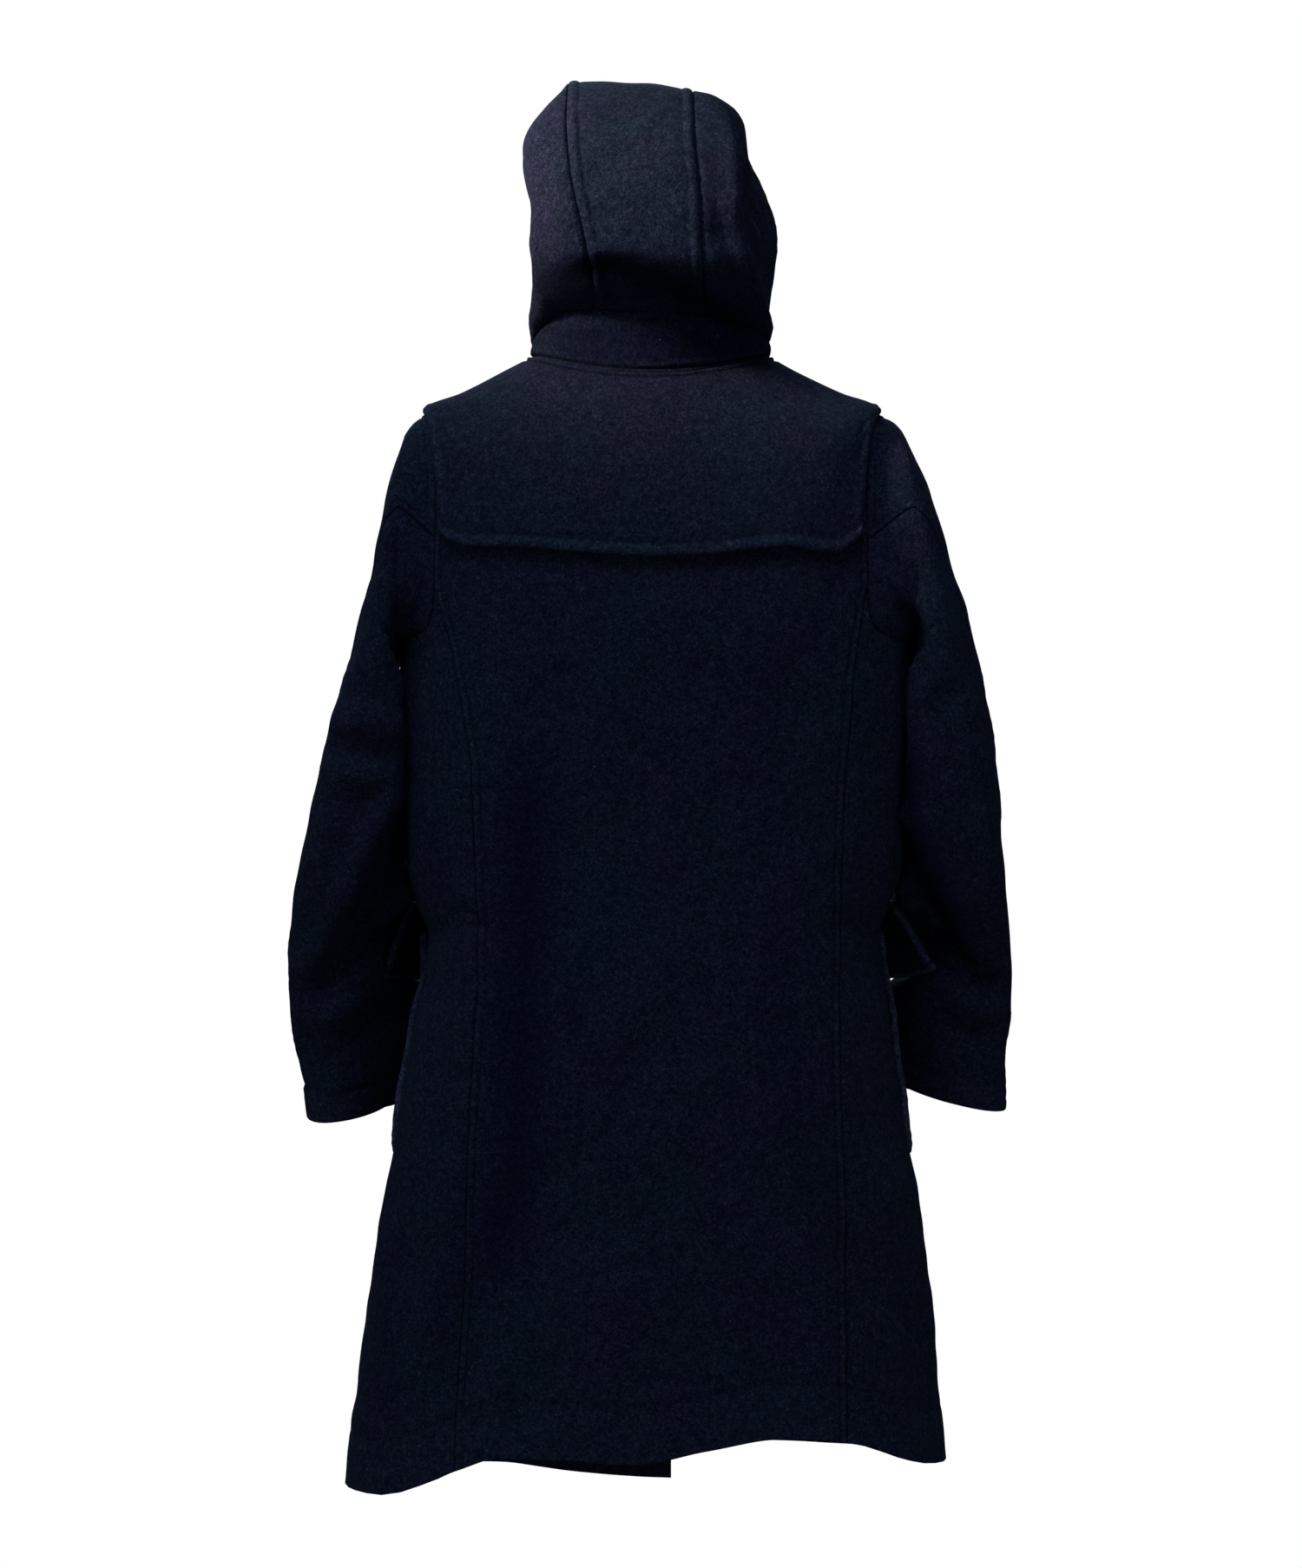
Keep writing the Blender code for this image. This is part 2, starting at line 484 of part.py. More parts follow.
def sleeve_normal(side, k, phi):
    phi = np.asarray(phi, float)
    a = sleeve(side, k, phi + 3) - sleeve(side, k, phi - 3)
    b = sleeve(side, min(k + 0.12, 13.0), phi) - sleeve(side, max(k - 0.12, 0.05), phi)
    return unit(np.cross(b, a)) * side


# ---------------------------------------------------------------- body panels
GRIDS = {}


def side_edge(side, back, s):
    """Outer edge of a back or front panel from neck to underarm, then the side seam."""
    if s <= 3:
        return side * 90.0
    if s < 7:
        return side * float(edge_angle(side, back, s))
    return side * float(np.interp(s, [7, 9], [90.0, SIDE_SEAM]))


def princess(side, s):
    return float(angle_of(look(PRINCESS_LEFT if side > 0 else PRINCESS_RIGHT, s) * side, s))


def back_edge(side, s):
    return side_edge(side, True, s) if s <= SPLIT_RING else princess(side, s)


def lap_angle(x, s):
    """Angle past 180 degrees where the ring reaches a front edge."""
    ths = np.linspace(180.0, 215.0, 141)
    return float(np.interp(x, -body(ths, s)[:, 0], ths))


def over_lift(x):
    """The right front climbs over the left one near the centre."""
    return (WALL + 0.0022) * smooth((x + 0.085) / 0.045)


def panel(name, rings, edges, count, holes=(None, None), lifted=False):
    """Body panel from its right edge to its left one, each an angle for a ring.

    holes: for each edge, which armhole it follows and over which rings."""
    outer, inner, up = [], [], []
    for s in rings:
        at_hole = [h is not None and h[2] <= s <= h[3] for h in holes]
        a, b = edges[0](s), edges[1](s)
        a = a if at_hole[0] else float(nudge(a, s, GAP / 2))
        b = b if at_hole[1] else float(nudge(b, s, -GAP / 2))
        th = np.linspace(a, b, count + 1)
        p, n = body(th, s), body_normal(th, s)
        q = p - WALL * n
        for end, h, inside in zip((0, -1), holes, at_hole):
            if inside:
                p[end], q[end] = hole_edge(h[0], h[1], s, -1)
        if lifted:
            lift = n * over_lift(p[:, 0])[:, None]
            p, q = p + lift, q + lift
        outer.append(p)
        inner.append(q)
        up.append(n)
    GRIDS[name] = (np.array(outer), np.array(up), rings)
    return cloth(name, outer, inner)


def build_body():
    low = [s for s in BACK_RINGS if s > SPLIT_RING]
    panel("back", BACK_RINGS, (lambda s: back_edge(-1, s), lambda s: back_edge(1, s)), 12,
          ((-1, True, 3, SPLIT_RING), (1, True, 3, SPLIT_RING)))
    panel("side_back_left", low, (lambda s: princess(1, s), lambda s: side_edge(1, True, s)), 4, (None, (1, True, 3, 7)))
    panel("side_back_right", low, (lambda s: side_edge(-1, True, s), lambda s: princess(-1, s)), 4, ((-1, True, 3, 7), None))
    panel("front_left", FRONT_RINGS, (lambda s: side_edge(1, False, s), lambda s: lap_angle(LEFT_LAP, s)), 8,
          ((1, False, 3, 7), None))
    panel("front_right", FRONT_RINGS, (lambda s: -lap_angle(RIGHT_LAP, s), lambda s: side_edge(-1, False, s)), 8,
          (None, (-1, False, 3, 7)), lifted=True)


# ---------------------------------------------------------------- yoke
YOKE_FLOAT = 0.0016      # between the yoke and the panels it lies on
YOKE_LIFT = 0.0030       # its bottom edge stands off by this much more
YOKE_INSET = {3: 0.0, 3.25: 0.0028, 3.6: 0.0032, 4: 0.0045, 4.5: 0.0090, 5: 0.0130, 5.75: 0.0150, 6.5: 0.016}
YOKE_DOWN = (0.4, 0.75, 1.0)       # rows below ring 4, as shares of the way to the bottom


def along(line, normals, at):
    """Points and normals of a polyline at the given lengths from its start."""
    run = np.concatenate([[0], np.cumsum(np.linalg.norm(np.diff(line, axis=0), axis=1))])
    at = np.asarray(at)
    return (np.stack([np.interp(at, run, line[:, i]) for i in range(3)], axis=-1),
            unit(np.stack([np.interp(at, run, normals[:, i]) for i in range(3)], axis=-1)), run)


def yoke_part(name, armholes, stop_x=None):
    """Yoke points over one panel: inner face and normals, whole rows first, then the flap below them."""
    grid, up, rings = GRIDS[name]
    kept = grid.shape[1]
    if stop_x is not None:
        kept = min(int((grid[rings.index(s), :, 0] > stop_x + 0.004).sum()) for s in rings if s <= 6.5)
    base, normal = [], []
    for s in [r for r in rings if r in (0, 1, 2, 3) or 3 < r <= 6.5]:
        i = rings.index(s)
        at = along(grid[i], up[i], 0.0)[2]
        full = at[-1]
        if stop_x is not None:
            end = float(np.interp(-stop_x, -grid[i, :, 0], at))
            at = np.append(at[:kept], np.linspace(at[kept - 1], end, 4)[1:])
        if s > 3:
            inset = float(look(YOKE_INSET, s))
            if armholes[0]:
                at[0] = inset
            if armholes[1]:
                at[-1] = full - inset
        p, n, _ = along(grid[i], up[i], at)
        base.append(p)
        normal.append(n)
    base, normal = np.array(base), np.array(normal)
    rows = [(base[i], normal[i]) for i in range(7)]
    low = [([], []) for _ in YOKE_DOWN]
    for c in range(base.shape[1]):
        line, norm = base[6:, c], normal[6:, c]
        floor = look(YOKE_BOTTOM, line[:, 0]) if name == "back" else YOKE_FRONT_BOTTOM
        drop = line[:, 2] - floor
        k = int(np.argmax(drop < 0)) if np.any(drop < 0) else len(line) - 1
        stop = k - 1 + drop[k - 1] / max(drop[k - 1] - drop[k], 1e-9)
        for (ps, ns), f in zip(low, YOKE_DOWN):
            j = min(int(stop * f), len(line) - 2)
            t = stop * f - j
            n = unit(norm[j] + (norm[j + 1] - norm[j]) * t)
            ps.append(line[j] + (line[j + 1] - line[j]) * t + n * YOKE_LIFT * max(0.0, (f - 0.5) / 0.5) ** 2)
            ns.append(n)
    return rows[:4], rows[4:] + [(np.array(p), np.array(n)) for p, n in low]


def build_yoke():
    """One piece over both shoulders: whole rows down to the shoulder tips, then three flaps."""
    right, right_low = yoke_part("front_right", (False, True))
    back, back_low = yoke_part("back", (True, True))
    left, left_low = yoke_part("front_left", (True, False), stop_x=RIGHT_LAP + 0.0025)
    points, normals, faces = [], [], []

    def put(ps, ns):
        start = len(points)
        points.extend(ps)
        normals.extend(ns)
        return list(range(start, start + len(ps)))

    def weave(upper, lower):
        for a, b, c, d in zip(upper, upper[1:], lower[1:], lower):
            faces.extend([(a, b, c), (a, c, d)])

    whole = []
    for (rp, rn), (bp, bn), (lp, ln) in zip(right, back, left):
        # the right front runs from its free edge to the shoulder, the back from right to left
        ids = put(np.concatenate([rp[:-1], bp, lp[1:]]), np.concatenate([rn[:-1], bn, ln[1:]]))
        whole.append(ids)
    for upper, lower in zip(whole, whole[1:]):
        weave(upper, lower)
    a, b = len(right[0][0]) - 1, len(back[0][0])
    for flap, ids in ((right_low, whole[-1][:a + 1]), (back_low, whole[-1][a:a + b]), (left_low, whole[-1][a + b - 1:])):
        upper = ids
        for ps, ns in flap:
            lower = put(ps, ns)
            weave(upper, lower)
            upper = lower
    points, normals = np.array(points), np.array(normals)
    inner = points + normals * YOKE_FLOAT
    return solid("yoke", inner + normals * WALL, inner, faces)


# ---------------------------------------------------------------- sleeves
SLEEVE_RINGS = [0, 0.35, 1, 2, 3, 4, 5, 6, 7, 8, 9, 10.3, 11.6, 13]


def build_sleeve(side, name):
    st, p0, run, m, j, _ = hole(side)
    back = lambda k: float(look(BACK_SEAM, k))
    front = lambda k: float(look(FRONT_SEAM, k))

    def make(lo, hi, label):
        start, end = lo(0), hi(0)
        order = [i for turn in (0, 360) for i in range(len(st) - 1) if start - 0.01 <= st[i] + turn <= end + 0.01]
        turned = [st[i] + turn for turn in (0, 360) for i in range(len(st) - 1) if start - 0.01 <= st[i] + turn <= end + 0.01]
        share = (np.array(turned) - start) / (end - start)
        even = np.linspace(0, 1, len(order))
        outer, inner = [], []
        for k in SLEEVE_RINGS:
            if k == 0:
                p = p0[order] + j[order] * SEAM / 2
                p[0] += run[order[0]] * GAP / 2
                p[-1] -= run[order[-1]] * GAP / 2
                outer.append(p)
                inner.append(p - WALL * m[order])
                continue
            a, b = lo(k), hi(k)
            ends = sleeve(side, k, np.linspace(a, b, 33))
            per = (b - a) / np.linalg.norm(np.diff(ends, axis=0), axis=1).sum()
            mix = min(k / 3.0, 1.0)
            th = a + (b - a) * (share * (1 - mix) + even * mix)
            th[0] += GAP * per
            th[-1] -= GAP * per
            n = sleeve_normal(side, k, th)
            p = sleeve(side, k, th) + WALL * min(k, 1.0) * n
            outer.append(p)
            inner.append(p - WALL * n)
        cloth(name + label, outer, inner)

    make(front, back, "_upper")
    make(back, lambda k: front(k) + 360, "_under")


# ---------------------------------------------------------------- hood
STRIP_ANGLE = 26.0
HOOD_T = np.linspace(0, 1, 9)
HOOD_S = np.array([0, 0.08, 0.2, 0.35, 0.5, 0.65, 0.8, 0.91, 1.0])
STRIP_U = np.array([-1, -0.5, 0, 0.5, 1.0])
HOOD_MIDDLE = np.array([0.0, 0.0, 0.09])
PROFILE = [Curve([row[0] for row in HOOD_PROFILE], [row[i] for row in HOOD_PROFILE]) for i in (1, 2)]
HOOD_FRONTS = {side: [Curve([row[0] for row in rows], [row[i] for row in rows]) for i in (1, 2, 3)]
               for side, rows in ((1, HOOD_FRONT_LEFT), (-1, HOOD_FRONT_RIGHT))}


def level(theta):
    a = np.radians(np.asarray(theta, float))
    return np.stack([np.sin(a), np.cos(a), np.zeros_like(a)], axis=-1)


def stand_point(theta, f):
    theta = np.asarray(theta, float)
    p = body(theta, 0.0)
    d = unit(p - body(theta, 0.15))
    up = look(STAND_TOP, theta) * f
    lift = np.stack([np.zeros_like(up), np.zeros_like(up), up], axis=-1)
    return p + d * 0.0010 + lift + level(theta) * (look(STAND_LEAN, theta) * f)[..., None]


def strip_edge(side, r):
    """Seam between the centre strip and a side panel, r 0 at the front .. 1 at the stand."""
    r = np.asarray(r, float)
    y, z = PROFILE[0](r), PROFILE[1](r)
    half = 0.044 + (STRIP_HALF - 0.044) * smooth((z - 0.03) / 0.12)
    x = side * half + HOOD_LEAN * smooth(z / 0.2)
    z = z - 0.006 * smooth((z - 0.05) / 0.1) * (side < 0) - 0.0060 * smooth((z - 0.12) / 0.1)
    y = y - 0.006 * smooth((r - 0.4) / 0.2) * smooth((1 - r) / 0.1)
    end = stand_point(float(side) * STRIP_ANGLE, 1.0)
    t = smooth((r - 0.93) / 0.07)[..., None]
    return np.stack([x, y, z], axis=-1) * (1 - t) + end * t


def strip_point(u, r):
    """Centre strip: u -1 right seam .. +1 left seam."""
    u, r = np.broadcast_arrays(np.asarray(u, float), np.asarray(r, float))
    t = ((u + 1) / 2)[..., None]
    p = strip_edge(-1, r) * (1 - t) + strip_edge(1, r) * t
    lo, hi = np.clip(r - 0.01, 0, 1), np.clip(r + 0.01, 0, 1)
    dy, dz = PROFILE[0](hi) - PROFILE[0](lo), PROFILE[1](hi) - PROFILE[1](lo)
    size = np.maximum(np.hypot(dy, dz), 1e-9)
    swell = (1 - u * u) * 0.0035 * smooth((1 - r) / 0.1)
    p[..., 1] -= dz / size * swell
    p[..., 2] += dy / size * swell
    w = smooth((r - 0.93) / 0.07)[..., None]
    return p * (1 - w) + stand_point(u * STRIP_ANGLE, 1.0) * w


def side_point(side, t, s):
    """Side panel: t 0 front edge .. 1 back seam, s 0 stand .. 1 top seam."""
    t, s = np.broadcast_arrays(np.asarray(t, float), np.asarray(s, float))
    wide = HOOD_SIDE_LEFT if side > 0 else HOOD_SIDE_RIGHT

    def front(v):
        f = np.stack([c(v) for c in HOOD_FRONTS[side]], axis=-1)
        f[..., 0] *= side
        w = smooth(1 - v / 0.15)[..., None]
        f = f * (1 - w) + stand_point(side * STAND_END, 1.0) * w
        w = smooth((v - 0.93) / 0.07)[..., None]
        return f * (1 - w) + strip_edge(side, 0.0) * w

    bottom = lambda v: stand_point(side * (STAND_END + (STRIP_ANGLE - STAND_END) * v), 1.0)
    top = lambda v: strip_edge(side, HOOD_CROWN * v)
    back = lambda v: strip_edge(side, 1 - (1 - HOOD_CROWN) * v)
    tt, ss = t[..., None], s[..., None]
    corner = [front(np.zeros(1))[0], front(np.ones(1))[0], back(np.zeros(1))[0], back(np.ones(1))[0]]
    p = (front(s) * (1 - tt) + back(s) * tt + bottom(t) * (1 - ss) + top(t) * ss
         - corner[0] * (1 - tt) * (1 - ss) - corner[2] * tt * (1 - ss) - corner[1] * (1 - tt) * ss - corner[3] * tt * ss)
    # the middle stands out to its own half width, and rounds over near the two seams
    g = np.sqrt(np.clip(1 - (1 - np.clip((1 - s) / 0.30, 0, 1)) ** 2, 0, 1))
    h = np.sqrt(np.clip(1 - (1 - np.clip((1 - t) / 0.34, 0, 1)) ** 2, 0, 1))
    k = smooth(s / 0.2) * smooth(t / 0.35)
    p[..., 0] += (side * look(wide, p[..., 2]) - p[..., 0]) * g * h * k
    return p


def facing_out(n, p):
    return n * np.where((n * (p - HOOD_MIDDLE)).sum(axis=-1, keepdims=True) < 0, -1.0, 1.0)


def normals_of(surface, a, b, step=0.012):
    """Normals of a surface over the unit square (or u from -1)."""
    low = -1.0 if np.min(a) < -0.001 else 0.0
    da = surface(np.clip(a + step, low, 1), b) - surface(np.clip(a - step, low, 1), b)
    db = surface(a, np.clip(b + step, 0, 1)) - surface(a, np.clip(b - step, 0, 1))
    return facing_out(unit(np.cross(da, db)), surface(a, b))


def foot_joint(theta):
    """Seam of stand and hood: point, mitre and joint direction (up into the hood)."""
    p = stand_point(theta, 1.0)
    run = unit(stand_point(theta + 0.5, 1.0) - stand_point(theta - 0.5, 1.0))
    if abs(theta) <= STRIP_ANGLE:
        up = strip_point(theta / STRIP_ANGLE, 0.975) - p
    else:
        side = 1 if theta > 0 else -1
        up = side_point(side, (side * theta - STAND_END) / (STRIP_ANGLE - STAND_END), 0.03) - p
    up = unit(up - run * (up * run).sum())
    m = mitre(level(theta), unit(np.cross(up, run)))
    return p, m, unit(np.cross(run, m))


def strip_joint(side, r):
    """Seam of centre strip and side panel: point, mitre and joint direction (into the side panel)."""
    p = strip_edge(side, r)
    run = unit(strip_edge(side, min(r + 0.01, 1.0)) - strip_edge(side, max(r - 0.01, 0.0)))
    own = normals_of(strip_point, np.array(side * 0.94), np.array(min(r, 0.985)))
    on_top = r <= HOOD_CROWN
    if on_top:
        away = side_point(side, r / HOOD_CROWN, 0.95) - p
    else:
        away = side_point(side, 0.95, (1 - r) / (1 - HOOD_CROWN)) - p
    away = unit(away - run * (away * run).sum())
    other = facing_out(unit(np.cross(run, away)), p)
    m = mitre(own, other)
    j = unit(np.cross(run, m))
    return p, m, j * (1.0 if (j * away).sum() > 0 else -1.0)


def build_hood():
    sides = STAND_END + (STRIP_ANGLE - STAND_END) * HOOD_T
    ths = np.concatenate([-sides[:-1], STRIP_U * STRIP_ANGLE, sides[:-1][::-1]])
    foot = {round(float(th), 6): foot_joint(float(th)) for th in ths}
    at_foot = lambda th: foot[round(float(th), 6)]

    outer, inner = [], []
    for f in (0, 0.5, 1.0):
        p = stand_point(ths, f)
        q = p - level(ths) * WALL
        if f == 1.0:
            for i, th in enumerate(ths):
                point, m, j = at_foot(th)
                p[i] = point - j * SEAM / 2
                q[i] = p[i] - m * WALL
        outer.append(p)
        inner.append(q)
    cloth("hood_stand", outer, inner)

    rs = [float(r) for r in np.unique(np.round(np.concatenate([HOOD_CROWN * HOOD_T, 1 - (1 - HOOD_CROWN) * HOOD_S]), 9))]
    joints = {(side, round(r, 6)): strip_joint(side, r) for side in (1, -1) for r in rs}
    outer, inner = [], []
    for r in rs:
        p = strip_point(STRIP_U, r)
        q = p - WALL * normals_of(strip_point, STRIP_U, np.full_like(STRIP_U, r))
        for end, side in ((0, -1), (-1, 1)):
            point, m, j = joints[side, round(r, 6)]
            p[end] = point - j * SEAM / 2
            q[end] = p[end] - m * WALL
        if r == 1.0:
            for i, u in enumerate(STRIP_U):
                point, m, j = at_foot(u * STRIP_ANGLE)
                shift = -joints[int(u), 1.0][2] * SEAM / 2 if abs(u) == 1 else 0.0
                p[i] = point + j * SEAM / 2 + shift
                q[i] = p[i] - m * WALL
        outer.append(p)
        inner.append(q)
    cloth("hood_centre", outer, inner)

    for side, name in ((1, "hood_left"), (-1, "hood_right")):
        outer, inner = [], []
        for s in HOOD_S:
            ts = HOOD_T
            p = side_point(side, ts, s)
            q = p - WALL * normals_of(lambda a, b: side_point(side, a, b), ts, np.full_like(ts, s))
            for i, t in enumerate(ts):
                if s == 1.0 or t == 1.0:
                    r = HOOD_CROWN * t if s == 1.0 else 1 - (1 - HOOD_CROWN) * s
                    point, m, j = joints[side, round(float(r), 6)]
                    p[i] = point + j * SEAM / 2
                    q[i] = p[i] - m * WALL
                if s == 0.0:
                    point, m, j = at_foot(side * (STAND_END + (STRIP_ANGLE - STAND_END) * t))
                    shift = joints[side, 1.0][2] * SEAM / 2 if t == 1.0 else 0.0
                    p[i] = point + j * SEAM / 2 + shift
                    q[i] = p[i] - m * WALL
            outer.append(p)
            inner.append(q)
        cloth(name, outer, inner)


# ---------------------------------------------------------------- pockets
def ring_at(theta, z):
    ss = np.linspace(3, 23, 401)
    return float(np.interp(-z, -body(theta, ss)[:, 2], ss))


def surface_of(name):
    grid = GRIDS[name][0]
    return BVHTree.FromPolygons([Vector(p) for p in grid.reshape(-1, 3)], grid_faces(*grid.shape[:2]))


def on_front(tree, theta, z):
    """Point of the front panel itself at an angle and height, with its level outward direction."""
    s = ring_at(theta, z)
    p, n = body(theta, s), body_normal(theta, s)
    n = unit(np.array([n[0], n[1], 0.0]))
    hit = tree.ray_cast(Vector(p + n * 0.04), Vector(-n), 0.08)[0]
    return (np.array(hit) if hit is not None else p), n


def build_pocket(side, name, tree):
    outer, inner = [], []
    mid, half = (POCKET["front"] + POCKET["rear"]) / 2, (POCKET["front"] - POCKET["rear"]) / 2
    corner = 0.028
    for z in (POCKET["top"], -0.530, -0.580, -0.625, -0.652, -0.668, POCKET["bottom"]):
        up = min(z - POCKET["bottom"], corner)
        cut = corner - math.sqrt(max(corner ** 2 - (corner - up) ** 2, 0.0))
        p, q = [], []
        for f in np.linspace(-1, 1, 8):
            hit, n = on_front(tree, side * (mid + f * half * (1 - 2 * cut / 0.165)), z)
            base = hit + n * (0.0016 + 0.0016 * (1 - f * f))
            p.append(base + n * DOUBLE)
            q.append(base)
        outer.append(p)
        inner.append(q)
    return cloth(name, outer, inner)


def build_flap(side, name, tree):
    rear, front = FLAP_SWING["left" if side > 0 else "right"]
    outer, inner = [], []
    fs = [0, 0.08, 0.17, 0.28, 0.42, 0.6, 0.8, 1]
    base = [on_front(tree, side * (POCKET["rear"] - 0.6 + (POCKET["front"] - POCKET["rear"] + 1.6) * f), FLAP_TOP) for f in fs]
    for d in (0, 0.020, 0.045, FLAP_LENGTH):
        p, q = [], []
        for f, (hit, n) in zip(fs, base):
            a = math.radians(front + (rear - front) * (1 - f) ** 5)
            down = n * math.sin(a) - np.array([0, 0, math.cos(a)])
            out = n * math.cos(a) + np.array([0, 0, math.sin(a)])
            p.append(hit + n * 0.0024 + down * d + out * (DOUBLE - 0.0010))
            q.append(hit + n * 0.0024 + down * d)
        outer.append(p)
        inner.append(q)
    return cloth(name, outer, inner)


# ---------------------------------------------------------------- toggles, cords, patches
def front_y(tree, x, z):
    """Y of a front panel's own face at x, z."""
    return tree.ray_cast(Vector((x, -0.4, z)), Vector((0, 1, 0)), 0.6)[0].y


def build_patch(name, tree, x, z):
    w, h = PATCH["width"] / 2, PATCH["height"] / 2
    outer, inner = [], []
    for fz in (-1, -0.62, 0.62, 1):
        inset = 0.32 if abs(fz) == 1 else 0.0
        xs = [x + fx * w * (1 - inset) for fx in np.linspace(-1, 1, 6)]
        zs = z + fz * h
        ys = [front_y(tree, px, zs) - 0.0017 for px in xs]
        outer.append([(px, y - PATCH["thick"], zs) for px, y in zip(xs, ys)])
        inner.append([(px, y, zs) for px, y in zip(xs, ys)])
    return cloth(name, outer, inner, LEATHER, 0.5)


def build_toggle(name, centre):
    profile = [(0.0, -0.5), (0.40, -0.49), (0.72, -0.45), (0.95, -0.34), (1.0, -0.20), (0.98, -0.12), (0.68, -0.10),
               (0.68, 0.10), (0.98, 0.12), (1.0, 0.20), (0.95, 0.34), (0.72, 0.45), (0.40, 0.49), (0.0, 0.5)]
    bm = bmesh.new()
    verts = [bm.verts.new((r * TOGGLE_RADIUS, 0, -a * TOGGLE_LENGTH)) for r, a in profile]
    for a, b in zip(verts, verts[1:]):
        bm.edges.new((a, b))
    mesh = bpy.data.meshes.new(name)
    bm.to_mesh(mesh)
    bm.free()
    obj = bpy.data.objects.new(name, mesh)
    COLLECTION.objects.link(obj)
    mesh.materials.append(material(name, HORN, 0.35))
    turn = obj.modifiers.new("turned", "SCREW")
    turn.axis = "Z"
    turn.angle = math.tau
    turn.steps = turn.render_steps = 10
    turn.use_merge_vertices = True
    turn.merge_threshold = 0.0001
    turn.use_smooth_shade = True
    obj.rotation_euler = (0, math.pi / 2, 0)
    obj.location = centre
    return obj


def cord_curve(name, points):
    curve = bpy.data.curves.new(name, "CURVE")
    curve.dimensions = "3D"
    curve.bevel_depth = CORD_RADIUS
    curve.bevel_resolution = 2
    curve.use_fill_caps = True
    curve.render_resolution_u = 0
    line = curve.splines.new("POLY")
    line.points.add(len(points) - 1)
    for i, p in enumerate(points):
        line.points[i].co = (*p, 1.0)
    obj = bpy.data.objects.new(name, curve)
    COLLECTION.objects.link(obj)
    curve.materials.append(material(name, CORD, 0.85))
    return obj


def build_closure(i, z, over, under):
    clear = GROOVE_RADIUS + CORD_RADIUS + 0.0006
    axis_y = front_y(over, TOGGLE_X, z) - clear - CORD_RADIUS - 0.0012
    build_toggle("toggle_%d" % i, (TOGGLE_X, axis_y, z))
    over_x, under_x = -0.062, 0.078
    build_patch("patch_right_%d" % i, over, over_x, z)
    build_patch("patch_left_%d" % i, under, under_x, z)
    strand = TOGGLE_RADIUS + CORD_RADIUS + 0.0009
    lip = RIGHT_LAP - 0.004
    for name, side, start, tree in (("loop_%d" % i, -1, over_x + PATCH["width"] / 2 + 0.0008, over),
                                    ("tie_%d" % i, 1, under_x - PATCH["width"] / 2 - 0.0008, under)):
        turn_x = TOGGLE_X + side * (CORD_RADIUS + 0.0005)
        lift = CORD_RADIUS + 0.0012
        y0 = front_y(tree, start, z) - lift
        pts = []
        for f in (0.0, 0.3, 0.6, 0.85, 1.0):
            x = start + (turn_x + side * 0.005 - start) * f
            y = y0 + (axis_y - y0) * float(smooth(f / 0.85))
            if x < RIGHT_LAP + 0.006:
                y = min(y, front_y(over, min(x, lip), z) - lift)
            pts.append((x, y, z + strand))
        bend = []
        way = 1 if side < 0 else -1           # the loop passes behind the toggle, the tie in front
        for q in (80, 50, 20, -20, -50, -80):
            a = math.radians(q)
            bend.append((turn_x, axis_y + way * clear * math.cos(a), z + clear * math.sin(a)))
        lower = [(x, y, 2 * z - zz) for x, y, zz in reversed(pts)]
        cord_curve(name, pts + bend + lower)


# ---------------------------------------------------------------- build
def main():
    clear_scene()
    build_body()
    build_yoke()
    build_sleeve(1, "sleeve_left")
    build_sleeve(-1, "sleeve_right")
    build_hood()
    over, under = surface_of("front_right"), surface_of("front_left")
    for side, name, tree in ((1, "left", under), (-1, "right", over)):
        build_pocket(side, "pocket_" + name, tree)
        build_flap(side, "pocket_flap_" + name, tree)
    for i, z in enumerate(TOGGLE_Z, 1):
        build_closure(i, z, over, under)


main()
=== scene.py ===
"""Looks of the duffle coat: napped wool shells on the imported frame, with seams, stitches and creases."""
import math

import bmesh
import bpy
import numpy as np
from mathutils.kdtree import KDTree
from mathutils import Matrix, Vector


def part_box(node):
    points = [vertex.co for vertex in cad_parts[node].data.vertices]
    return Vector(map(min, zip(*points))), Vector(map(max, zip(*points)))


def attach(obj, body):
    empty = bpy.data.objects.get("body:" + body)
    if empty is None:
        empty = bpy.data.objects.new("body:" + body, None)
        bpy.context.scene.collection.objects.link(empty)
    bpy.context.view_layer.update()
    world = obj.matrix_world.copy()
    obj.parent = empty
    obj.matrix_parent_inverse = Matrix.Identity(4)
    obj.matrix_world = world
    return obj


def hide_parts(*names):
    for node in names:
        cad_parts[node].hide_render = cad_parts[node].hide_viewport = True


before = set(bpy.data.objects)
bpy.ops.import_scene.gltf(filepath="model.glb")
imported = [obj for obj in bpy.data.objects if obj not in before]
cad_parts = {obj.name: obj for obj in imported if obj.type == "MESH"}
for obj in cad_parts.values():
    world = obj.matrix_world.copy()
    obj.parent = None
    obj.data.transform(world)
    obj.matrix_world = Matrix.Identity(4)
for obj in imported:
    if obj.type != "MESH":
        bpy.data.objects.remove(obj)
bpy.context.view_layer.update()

# ---------------------------------------------------------------- driving sizes
WALL = 0.003            # heavy wool cloth
DOUBLE = 0.006          # cloth turned double: pockets and flaps
GAP = 0.0003            # between neighbours
SEAM = 0.0009           # across the seams round an armhole and the hood's foot
SIDE_SEAM = 96.0        # degrees round from centre back
LEFT_LAP = 0.018        # how far the left (under) front passes the centre
RIGHT_LAP = 0.036       # how far the right (over) front passes the centre
STRIP_HALF = 0.052      # half width of the hood's centre strip

